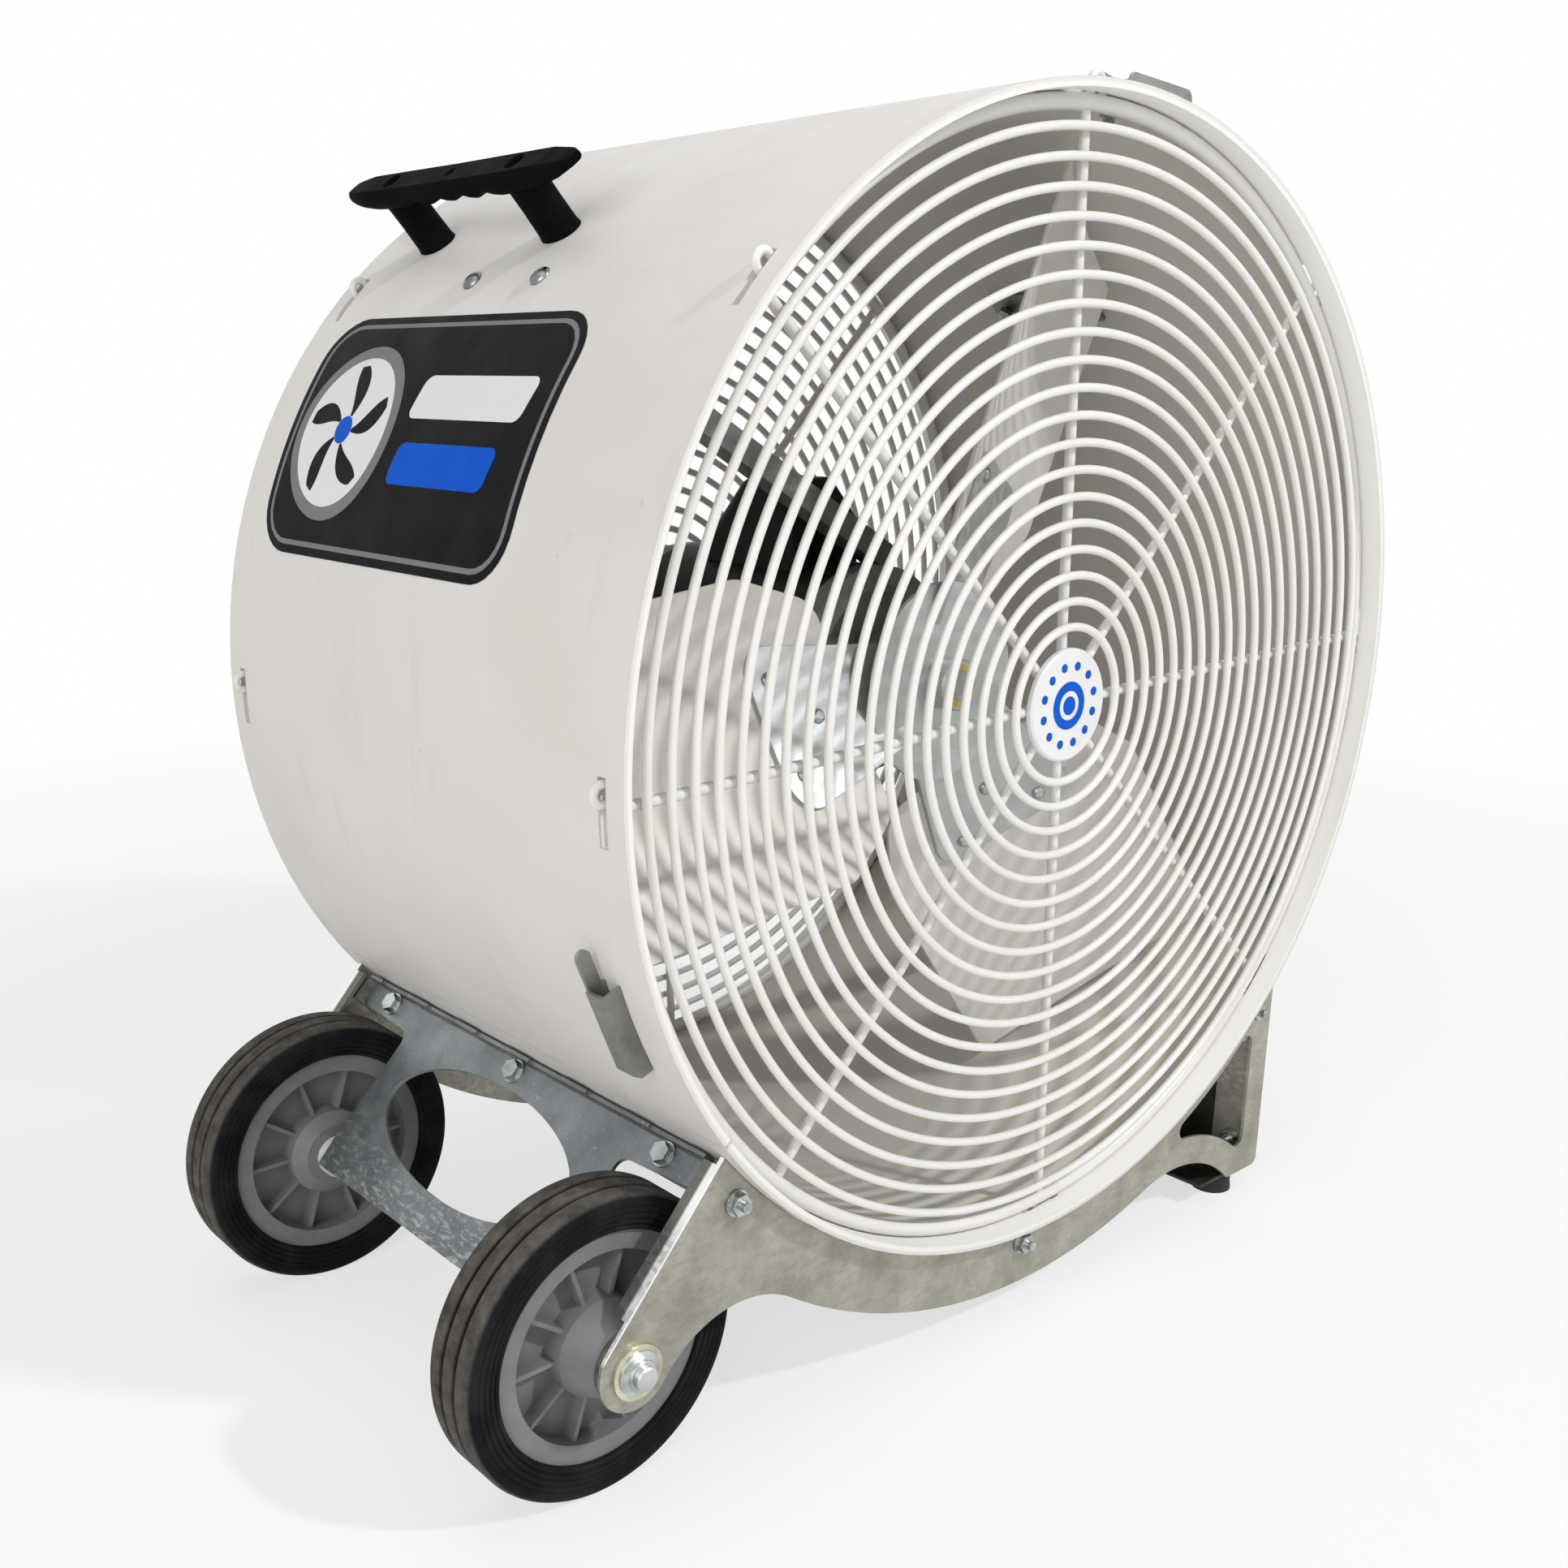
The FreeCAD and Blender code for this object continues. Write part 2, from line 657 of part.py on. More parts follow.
def make_plate_clips(label, side):
    """Angle clips that carry the drum on a plate."""
    clips = []
    step = 360 / S["spoke_count"]
    for angle, _ in plate_bolt_places():
        beside = math.radians(round(angle / step) * step - angle) * FIT
        free = min(beside - HOOK_HALF - S["clip_hook_gap"], S["clip_overlap"])
        clip = clip_shape(free)
        if side > 0:
            clip = clip.mirror(Vector(), BACK)
        clip.translate(BACK * side * (S["drum_depth"] / 2 - S["plate_setback"] - T))
        clips.append(turned(clip, angle))
    shape_node(label, Part.makeCompound(clips))


def make_plate_bolts(label, side):
    outside = side * (S["drum_depth"] / 2 - S["plate_setback"])
    bolts = []
    for _, p in plate_bolt_places():
        inner = Vector(p.x, outside - side * 2 * T, p.y)
        bolts.append(small_bolt(inner, BACK * side, 2 * T))
    shape_node(label, Part.makeCompound(bolts))


# Wheel-side panel, between the wheels, and the notched rail that carries it on the drum


def panel_start():
    """The panel's bolt line: on a plane parallel to the arms, at a set height over the drum."""
    base = LEFT_END + ARM_IN * S["panel_inset"]
    middle = base.dot(ARM)
    reach = RADIUS + S["panel_bolt_height"]
    return base + ARM * (math.sqrt(middle**2 - base.Length**2 + reach**2) - middle)


PANEL = panel_start()
PANEL_TURN = 180 - math.degrees(math.atan2(-ARM.y, -ARM.x))
AXLE_DOWN = (AXLE - PANEL).dot(ARM)
AXLE_IN = (AXLE - PANEL).dot(ARM_IN)
LIP = AXLE_DOWN + S["axle_diameter"] / 2 + S["panel_lip_clearance"]
WHEEL_MIDDLE = S["drum_depth"] / 2 - S["wheel_inset"] - S["tyre_width"] / 2
HUB_INSIDE = WHEEL_MIDDLE - S["tyre_width"] / 2 - S["hub_tail_length"]
EAR_OUTSIDE = HUB_INSIDE - S["side_play"] - S["bush_length"]
PANEL_HALF = S["drum_depth"] / 2 - S["panel_end_gap"]
PANEL_BOLT_STEP = PANEL_HALF - S["panel_bolt_end"]


def make_panel():
    body = new_body("left_panel")
    half = PANEL_HALF
    waist = EAR_OUTSIDE - S["panel_waist_step"]
    drop = S["panel_ear_drop"]
    corner = S["panel_corner"]
    top = -S["panel_top_edge"]
    right = [(top, half), (drop - 3, half), (drop, waist), (LIP, EAR_OUTSIDE)]
    left = [(u, -y) for u, y in reversed(right)]
    points = [Vector(u, y, 0) for u, y in right + left]
    radii = [2, corner, corner, 0, 0, corner, corner, 2]
    edges = rounded(points, radii)
    hole_middle = Vector(S["panel_hole_centre"], 0, 0)
    end = hole_middle + Vector(0, EAR_OUTSIDE - S["panel_hole_margin"], 0)
    wide = hole_middle + Vector(S["panel_hole_height"] / 2, 0, 0)
    edges.append(Part.Ellipse(end, wide, hole_middle))
    edges += [circle(0, i * PANEL_BOLT_STEP, BOLT_HOLE) for i in (-1, 0, 1)]
    pad(body, sketch_on(body, "XY_Plane", edges), "Sizes.sheet_thickness")
    lip = rectangle(LIP - T, 0, LIP, S["panel_lip_depth"])
    lip_pad = pad(body, sketch_on(body, "XZ_Plane", lip), "Sizes.sheet_thickness", symmetric=True)
    lip_pad.setExpression("Length", None)
    lip_pad.Length = 2 * EAR_OUTSIDE
    for side in (-1, 1):
        ear = rectangle(LIP - S["axle_ear_height"], 0, LIP, S["panel_lip_depth"])
        ear.append(circle(AXLE_DOWN, AXLE_IN, S["axle_diameter"] / 2 + S["axle_running_gap"]))
        sketch = sketch_on(body, "XZ_Plane", ear, offset=side * EAR_OUTSIDE)
        pad(body, sketch, "Sizes.sheet_thickness", backwards=side > 0)
    place(body, PANEL.x, 0, PANEL.y, PANEL_TURN)
    node(body, "left_panel")


def rail_edge(depth):
    """How far up the panel a point at this depth behind its face may go before it meets the drum."""
    base = PANEL + ARM_IN * depth
    middle = base.dot(ARM)
    reach = RADIUS + S["plate_fit"]
    return math.sqrt(middle**2 - base.Length**2 + reach**2) - middle


def make_rail():
    body = new_body("panel_rail")
    edge = max(rail_edge(T), rail_edge(2 * T), rail_edge(-S["rail_rise"]))
    rise = S["rail_rise"]
    corners = [(edge, -rise), (edge + T, -rise), (edge + T, T), (edge + S["rail_leg"], T)]
    corners += [(edge + S["rail_leg"], 2 * T), (edge, 2 * T)]
    angle = rounded([Vector(u, z, 0) for u, z in corners], [0] * len(corners))
    pad(body, sketch_on(body, "XZ_Plane", angle), "Sizes.drum_depth - 2 * Sizes.panel_end_gap", symmetric=True)
    holes = [circle(0, i * PANEL_BOLT_STEP, BOLT_HOLE) for i in (-1, 0, 1)]
    pocket(body, sketch_on(body, "XY_Plane", holes), backwards=True)
    count = int(S["rail_notch_count"])
    half = S["rail_notch_length"] / 2
    notches = []
    for i in range(count):
        middle = (2 * i / (count - 1) - 1) * (PANEL_HALF - S["rail_notch_margin"])
        notches += rectangle(middle - half, -rise - 1, middle + half, -rise + S["rail_notch_depth"])
    pocket(body, sketch_on(body, "YZ_Plane", notches), symmetric=True)
    place(body, PANEL.x, 0, PANEL.y, PANEL_TURN)
    node(body, "panel_rail")


def make_panel_bolts():
    inward = Vector(ARM_IN.x, 0, ARM_IN.y)
    bolts = []
    for i in (-1, 0, 1):
        seat = Vector(PANEL.x, i * PANEL_BOLT_STEP, PANEL.y)
        bolts.append(small_bolt(seat, inward, 2 * T, nut=False))
    shape_node("panel_bolts", Part.makeCompound(bolts))


# Foot side: an upright panel with a flange under it, two rubber feet


def make_foot_panel():
    body = new_body("right_panel")
    top = -math.sqrt(FIT**2 - (PLATE_RIGHT - T) ** 2)
    low = PLATE_BOTTOM
    inner = PLATE_RIGHT - S["foot_rail_width"]
    corners = [(inner, low), (PLATE_RIGHT, low), (PLATE_RIGHT, top), (PLATE_RIGHT - T, top)]
    corners += [(PLATE_RIGHT - T, low + T), (inner, low + T)]
    angle = rounded([Vector(x, z, 0) for x, z in corners], [0] * len(corners))
    length = "Sizes.drum_depth - 2 * Sizes.plate_setback - 2 * Sizes.sheet_thickness"
    pad(body, sketch_on(body, "XZ_Plane", angle), length, symmetric=True)
    reach = S["drum_depth"] / 2 - S["side_bolt_setback"]
    holes = [circle(side * reach, z, BOLT_HOLE) for side in (-1, 1) for z in side_bolt_heights()]
    pocket(body, sketch_on(body, "YZ_Plane", holes), backwards=True)
    place(body)
    node(body, "right_panel")


def make_side_bolts():
    reach = S["drum_depth"] / 2 - S["side_bolt_setback"]
    bolts = []
    for side in (-1, 1):
        for z in side_bolt_heights():
            bolts.append(small_bolt(Vector(PLATE_RIGHT, side * reach, z), Vector(-1, 0, 0), 2 * T))
    shape_node("right_panel_bolts", Part.makeCompound(bolts))


def make_foot(label, side):
    """Rubber foot: a short cone, wider at the floor."""
    cone = doc.addObject("Part::Cone", label)
    bind(cone, Radius1="Sizes.foot_diameter / 2", Radius2="Sizes.foot_diameter / 2 - Sizes.foot_taper")
    bind(cone, Height="Sizes.foot_height")
    y = side * (S["drum_depth"] / 2 - S["foot_setback"])
    cone.Placement = Placement(Vector(AXIS_X + PLATE_RIGHT - S["foot_inset"], y, 0), Rotation())
    node(cone, label)


# Wheels: rubber tyre on a ribbed plastic hub, both running on one long axle


def make_tyre(label, side):
    body = new_body(label)
    half = S["tyre_width"] / 2
    seat = WHEEL - S["tyre_section"]
    shoulder = S["tyre_shoulder"]
    groove = WHEEL - S["tread_groove_depth"]
    points = [(seat, -half + shoulder / 2), (seat + shoulder, -half), (WHEEL - shoulder, -half), (WHEEL, shoulder - half)]
    for start in (-S["tread_rib_width"] / 2 - S["tread_groove_width"], S["tread_rib_width"] / 2):
        end = start + S["tread_groove_width"]
        points += [(WHEEL, start), (groove, start), (groove, end), (WHEEL, end)]
    points += [(WHEEL, half - shoulder), (WHEEL - shoulder, half), (seat + shoulder, half), (seat, half - shoulder / 2)]
    revolve(body, sketch_on(body, "XY_Plane", profile(points)))
    place(body, AXLE.x, side * WHEEL_MIDDLE, AXLE.y)
    node(body, label)


def make_wheel_hub(label, side):
    """Rim, web and long boss; the boss's nose points to the outside of the fan."""
    body = new_body(label)
    rim_out = WHEEL - S["tyre_section"]
    rim_in = rim_out - S["hub_rim_thickness"]
    rim_half = S["hub_rim_width"] / 2
    web_half = S["hub_web_thickness"] / 2
    boss = S["hub_boss_diameter"] / 2
    nose = S["hub_nose_diameter"] / 2
    bore = S["axle_diameter"] / 2 + S["axle_running_gap"]
    half = S["tyre_width"] / 2
    points = [(bore, -half - S["hub_tail_length"]), (nose, -half - S["hub_tail_length"]), (boss, -rim_half)]
    points += [(boss, -web_half), (rim_in, -web_half), (rim_in, -rim_half), (rim_out, -rim_half)]
    points += [(rim_out, rim_half), (rim_in, rim_half), (rim_in, web_half), (boss, web_half), (boss, rim_half)]
    points += [(nose, half + S["hub_nose_length"]), (bore, half + S["hub_nose_length"])]
    revolve(body, sketch_on(body, "XY_Plane", profile(points)))
    rib_half = S["hub_rib_thickness"] / 2
    rib = rectangle(boss - 1, -rib_half, rim_in + 1, rib_half)
    ribs = pad(body, sketch_on(body, "XZ_Plane", rib), "Sizes.hub_rib_width", symmetric=True)
    polar_pattern(body, ribs, "Y_Axis", "Sizes.hub_rib_count")
    turn = Rotation(Vector(0, 0, 1), 0 if side > 0 else 180)
    body.Placement = Placement(AXIS + Vector(AXLE.x, side * WHEEL_MIDDLE, AXLE.y), turn)
    node(body, label)


def washer_ring(outer, start, direction, length):
    hole = rod(S["axle_diameter"] / 2 + S["axle_running_gap"], start, direction, length)
    return rod(outer, start, direction, length).cut(hole)


def make_axle():
    outside = S["drum_depth"] / 2 - S["plate_setback"] + S["axle_washer_thickness"]
    centre = Vector(AXLE.x, 0, AXLE.y)
    head_seat = centre - BACK * outside
    end = outside + S["axle_head_height"]
    shank = rod(S["axle_diameter"] / 2, head_seat, BACK, outside + end)
    head = hexagon(S["axle_head_across"], head_seat, BACK * -1, S["axle_head_height"])
    shape_node("axle", shank.fuse(head).removeSplitter())
    nut_seat = centre + BACK * outside
    nut = hexagon(S["axle_head_across"], nut_seat, BACK, S["axle_head_height"])
    bore = rod(S["axle_diameter"] / 2, nut_seat, BACK, S["axle_head_height"])
    shape_node("axle_nut", nut.cut(bore))
    nose_face = WHEEL_MIDDLE + S["tyre_width"] / 2 + S["hub_nose_length"] + S["side_play"]
    plate_in = S["drum_depth"] / 2 - S["plate_setback"] - T
    rings = []
    for side in (-1, 1):
        seat = centre + BACK * side * (plate_in + T)
        rings.append(washer_ring(S["axle_washer_diameter"] / 2, seat, BACK * side, S["axle_washer_thickness"]))
        inner = centre + BACK * side * nose_face
        rings.append(washer_ring(S["hub_nose_diameter"] / 2, inner, BACK * side, plate_in - nose_face))
    shape_node("axle_washers", Part.makeCompound(rings))
    for label, side in (("front_axle_bush", -1), ("rear_axle_bush", 1)):
        seat = centre + BACK * side * EAR_OUTSIDE
        shape_node(label, washer_ring(S["bush_diameter"] / 2, seat, BACK * side, S["bush_length"]))


# Carrying handle: a moulded grip with finger hollows on two posts


def make_handle():
    body = new_body("handle")
    low = RADIUS + S["handle_clearance"]
    high = low + S["grip_height"]
    half = S["handle_length"] / 2
    outer = (S["post_spacing"] + S["post_width"]) / 2
    inner = (S["post_spacing"] - S["post_width"]) / 2
    sunk = RADIUS - 6
    tip = low + S["grip_height"] * 0.4
    edges = []
    right = [(inner, low), (inner, sunk), (outer, sunk), (outer + 2, low), (half - 10, low + 3), (half, tip)]
    right += [(half - 8, high - 4), (outer - 14, high)]
    chain = [Vector(y, z, 0) for y, z in right] + [Vector(-y, z, 0) for y, z in reversed(right)]
    for start, end in zip(chain, chain[1:]):
        edges.append(line(start, end))
    count = int(S["finger_count"])
    step = 2 * inner / count
    for i in range(count):
        start = Vector(-inner + i * step, low, 0)
        middle = start + Vector(step / 2, S["finger_depth"], 0)
        edges.append(Part.Arc(start, middle, start + Vector(step, 0, 0)))
    grip = pad(body, sketch_on(body, "YZ_Plane", edges), "Sizes.handle_width", symmetric=True)
    rims = []
    for i, edge in enumerate(grip.Shape.Edges, 1):
        box = edge.BoundBox
        flat = box.XLength < 0.01 and box.ZMin > low + S["finger_depth"] + 0.5
        if flat:
            rims.append(f"Edge{i}")
    fillet = body.newObject("PartDesign::Fillet", "handle_fillet")
    fillet.Base = (grip, rims)
    fillet.setExpression("Radius", "Sizes.grip_rounding")
    place(body, y=-FRONT - S["handle_back_gap"], turn=90 - S["handle_angle"])
    seat = doc.addObject("Part::Cylinder", "handle_seat")
    bind(seat, Radius="Sizes.drum_diameter / 2 + 0.05", Height="Sizes.drum_depth * 2")
    seat.Placement = Placement(AXIS + BACK * S["drum_depth"], Rotation(Vector(1, 0, 0), 90))
    cut = doc.addObject("Part::Cut", "handle_cut")
    cut.Base = body
    cut.Tool = seat
    node(cut, "handle")


# Brackets round the front of the drum: a folded channel with a round-ended ear


def make_bracket(label, angle, flip):
    sheet_t = S["bracket_sheet"]
    length = S["bracket_length"]
    width = S["bracket_width"]
    height = S["bracket_height"]
    low = FIT
    sag = FIT - math.sqrt(FIT**2 - length**2 / 4)
    channel = Part.makeBox(length, width, height + sag, Vector(0, -width / 2, low - sag))
    core = Part.makeBox(length, width - 2 * sheet_t, height + sag - sheet_t, Vector(0, sheet_t - width / 2, low - sag))
    channel = channel.cut(core)
    chamfer = S["bracket_chamfer"]
    top = low + height
    corner = Part.makePolygon([
        Vector(length - chamfer, 0, top), Vector(length, 0, top), Vector(length, 0, top - chamfer),
        Vector(length - chamfer, 0, top),
    ])
    wedge = Part.Face(corner).extrude(BACK * width * 2)
    wedge.translate(BACK * -width)
    channel = channel.cut(wedge)
    ear_radius = (height - sheet_t) / 2
    reach = S["bracket_ear"]
    ear_low = low + 1.0
    bar = Part.makeBox(reach - ear_radius, sheet_t, 2 * ear_radius, Vector(ear_radius - reach, width / 2 - sheet_t, ear_low))
    nose = rod(ear_radius, Vector(ear_radius - reach, width / 2 - sheet_t, ear_low + ear_radius), BACK, sheet_t)
    shape = channel.fuse(bar.fuse(nose)).removeSplitter()
    drum = Part.makeCylinder(FIT, 4 * width, BACK * -2 * width, BACK)
    shape.translate(Vector(-length / 2, 0, 0))
    shape = shape.cut(drum)
    if flip:
        shape = shape.mirror(Vector(), Vector(1, 0, 0))
    shape.translate(BACK * (FRONT + S["bracket_setback"]))
    shape.rotate(Vector(), BACK, 90 - angle)
    shape_node(label, shape)


# Motor: shell, end bells, capacitor cover, four channel struts and their bolts

MOTOR = S["motor_diameter"] / 2
SHELL_FRONT = FRONT + S["motor_front"] + S["motor_bell_length"]
SHELL_BACK = -FRONT - S["motor_back_gap"] - S["motor_tail_length"]


def make_motor():
    shell = doc.addObject("Part::Cylinder", "motor_shell")
    bind(shell, Radius="Sizes.motor_diameter / 2")
    shell.Height = SHELL_BACK - SHELL_FRONT
    shell.Placement = Placement(AXIS + BACK * SHELL_BACK, Rotation(Vector(1, 0, 0), 90))
    node(shell, "motor_shell")
    bell = new_body("motor_front_bell")
    bore = S["shaft_diameter"] / 2 + S["axle_running_gap"]
    boss = S["motor_boss_diameter"] / 2
    depth = S["motor_bell_length"]
    nose = S["motor_boss_length"]
    points = [(bore, 0), (MOTOR, 0), (MOTOR, -depth * 0.45), (MOTOR * 0.82, nose - depth), (boss, nose - depth)]
    points += [(boss * 0.9, -depth), (bore, -depth)]
    revolve(bell, sketch_on(bell, "XY_Plane", profile(points)))
    place(bell, y=SHELL_FRONT)
    node(bell, "motor_front_bell")
    tail = new_body("motor_rear_bell")
    length = S["motor_tail_length"]
    points = [(0, 0), (MOTOR, 0), (MOTOR, length * 0.4), (MOTOR * 0.8, length * 0.85), (boss, length), (0, length)]
    revolve(tail, sketch_on(tail, "XY_Plane", profile(points)))
    place(tail, y=SHELL_BACK)
    node(tail, "motor_rear_bell")


def make_cover():
    """Hump over the motor shell, rounded on top, that follows the shell underneath."""
    body = new_body("capacitor_cover")
    start = FRONT + S["cover_front"]
    end = SHELL_BACK - S["cover_back_gap"]
    slope = S["cover_slope_share"] * (end - start)
    top = S["cover_top"]
    low = MOTOR * 0.7
    step = (top - MOTOR) / 2
    points = [(start, low), (end, low), (end, MOTOR + step * 0.3), (end - slope, top), (start + step, top)]
    points.append((start, top - step))
    corners = [Vector(y, z, 0) for y, z in points]
    edges = rounded(corners, [0, 0, 6, 12, 9, 9])
    hump = pad(body, sketch_on(body, "YZ_Plane", edges), "Sizes.cover_width", symmetric=True)
    rims = []
    for i, edge in enumerate(hump.Shape.Edges, 1):
        box = edge.BoundBox
        if box.XLength < 0.01 and box.ZMin > MOTOR:
            rims.append(f"Edge{i}")
    fillet = body.newObject("PartDesign::Fillet", "cover_fillet")
    fillet.Base = (hump, rims)
    fillet.setExpression("Radius", "Sizes.cover_rounding")
    place(body)
    core = doc.addObject("Part::Cylinder", "cover_seat")
    bind(core, Radius="Sizes.motor_diameter / 2", Height="Sizes.drum_depth")
    core.Placement = Placement(AXIS + BACK * (S["drum_depth"] / 2), Rotation(Vector(1, 0, 0), 90))
    cut = doc.addObject("Part::Cut", "cover_cut")
    cut.Base = body
    cut.Tool = core
    node(cut, "capacitor_cover")


def strut_shape():
    """Channel, open to the back, that leans from a bolted foot on the drum wall to the side of the motor."""
    half = S["strut_width"] / 2
    foot_half = S["strut_foot_width"] / 2
    t = S["strut_sheet"]
    end = math.sqrt(INNER**2 - foot_half**2) - 0.1
    front = FRONT + S["strut_front"]
    depth = S["strut_depth"]
    length = (end - S["strut_end_reach"]) / math.cos(math.radians(S["strut_side_angle"]))
    channel = Part.makeBox(length + half, depth, 2 * half, Vector(-length, 0, -half))
    hollow = Part.makeBox(length + half, depth, 2 * (half - t), Vector(-length, t, t - half))
    channel = channel.cut(hollow)
    channel.rotate(Vector(), BACK, -S["strut_side_angle"])
    channel.rotate(Vector(), UP, S["strut_front_angle"])
    channel.translate(Vector(end, front, 0))
    foot_low = STRUT_MIDDLE - S["strut_foot_length"] / 2
    foot = Part.makeBox(t, S["strut_foot_length"], 2 * foot_half, Vector(end - t, foot_low, -foot_half))
    beyond = Part.makeBox(RADIUS, S["drum_depth"], RADIUS, Vector(end, FRONT, -RADIUS / 2))
    shape = channel.cut(beyond).fuse(foot).removeSplitter()
    for y in STRUT_BOLTS:
        nut_room = rod(S["bolt_across"] * 0.75, Vector(end - RADIUS / 8, y, 0), Vector(1, 0, 0), RADIUS / 8 - t)
        shape = shape.cut(rod(BOLT_HOLE, Vector(end - 2 * t, y, 0), Vector(1, 0, 0), 4 * t)).cut(nut_room)
    saddle = Part.makeCylinder(MOTOR, S["drum_depth"], BACK * FRONT, BACK)
    return shape.cut(saddle)


def strut_bolt(y):
    """Dome-headed bolt: the dome on the drum, the nut inside on the strut's foot."""
    head = S["dome_head_diameter"] / 2
    height = S["dome_head_height"]
    half = S["strut_foot_width"] / 2
    foot = math.sqrt(INNER**2 - half**2) - 0.1 - S["strut_sheet"]
    seat = RADIUS
    ahead = Vector(1, 0, 0)
    dome = Part.makeCone(head, head * 0.75, height * 0.6, Vector(seat, y, 0), ahead)
    dome = dome.fuse(Part.makeCone(head * 0.75, head * 0.3, height * 0.4, Vector(seat + height * 0.6, y, 0), ahead))
    shank_start = foot - S["bolt_head_height"] - 1
    shank = rod(S["bolt_diameter"] / 2, Vector(shank_start, y, 0), ahead, seat - shank_start)
    nut = hexagon(S["bolt_across"], Vector(foot, y, 0), ahead * -1, S["bolt_head_height"])
    return dome.fuse([shank, nut]).removeSplitter()


def make_struts():
    count = int(S["strut_count"])
    bolts = []
    shape = strut_shape()
    for i in range(count):
        angle = S["strut_first_angle"] + 360 * i / count
        shape_node(f"motor_strut_{i + 1}", turned(shape, angle))
        for y in STRUT_BOLTS:
            bolts.append(turned(strut_bolt(y), angle))
    shape_node("strut_bolts", Part.makeCompound(bolts))


# Rotor: shaft, hub, spider and three cambered blades

HUB_FRONT = FRONT + S["hub_front"]
BLADE_Y = FRONT + S["rotor_middle"]
TIP = INNER - S["tip_gap"]


def blade_arc(front_offset):
    """Camber line of the blade, drawn as across and depth, moved towards the front by an offset."""
    half = S["blade_chord"] / 2
    pitch = math.radians(S["blade_pitch"])
    along = Vector(-math.cos(pitch), math.sin(pitch), 0)
    behind = Vector(math.sin(pitch), math.cos(pitch), 0)
    middle = Vector(0, BLADE_Y, 0)
    camber = S["blade_camber"]
    bend = (half**2 + camber**2) / (2 * camber)
    centre = middle + behind * (camber - bend)
    radius = bend - front_offset
    spread = math.asin(half / bend)
    ends = []
    for share in (-1, 0, 1):
        turn = share * spread
        ends.append(centre + (behind * math.cos(turn) + along * math.sin(turn)) * radius)
    return centre, radius, ends


def curved_sheet(front, thickness, start, length):
    """Strip bent to the blade's camber: its section lies across the fan's radius."""
    _, _, low = blade_arc(front)
    _, _, high = blade_arc(front + thickness)
    edges = [Part.Arc(*low), line(low[2], high[2]), Part.Arc(*reversed(high)), line(high[0], low[0])]
    wire = Part.Wire([edge.toShape() for edge in edges])
    section = Part.Face(wire)
    section = section.transformGeometry(ACROSS)
    return section.extrude(Vector(length, 0, 0)).translated(Vector(start, 0, 0))


ACROSS = FreeCAD.Matrix(0, 0, 1, 0, 0, 1, 0, 0, 1, 0, 0, 0, 0, 0, 0, 1)


def plan_prism(points, radii):
    """Upright prism over an outline in the front view, long enough to cut any blade."""
    edges = rounded([Vector(x, z, 0) for x, z in points], radii)
    wire = Part.Wire([edge.toShape() for edge in edges])
    face = Part.Face(wire)
    face.rotate(Vector(), Vector(1, 0, 0), 90)
    return face.extrude(BACK * S["drum_depth"]).translated(BACK * FRONT)


def blade_shape():
    sheet_solid = curved_sheet(0, S["blade_sheet"], 0, RADIUS)
    half = S["blade_chord"] / 2 * math.cos(math.radians(S["blade_pitch"])) - 1
    root = S["blade_root_width"] / 2
    start = S["blade_root"]
    wide = start + S["blade_shoulder"]
    corner = S["blade_corner"]
    points = [(start, -root), (wide, -half), (RADIUS, -half), (RADIUS, half), (wide, half), (start, root)]
    outline = plan_prism(points, [corner, corner, 0, 0, corner, corner])
    tip = Part.makeCylinder(TIP, S["drum_depth"], BACK * FRONT, BACK)
    return sheet_solid.common(outline).common(tip)


def spider_arm():
    sheet_solid = curved_sheet(S["blade_sheet"], S["spider_sheet"], 0, S["spider_arm_reach"])
    reach = S["spider_arm_reach"]
    half = S["spider_arm_width"] / 2
    inner = S["hub_flange_diameter"] / 2
    corner = half / 3
    points = [(inner, -inner * 0.9), (reach, -half), (reach, half), (inner, inner * 0.9)]
    return sheet_solid.common(plan_prism(points, [0, corner, corner, 0]))


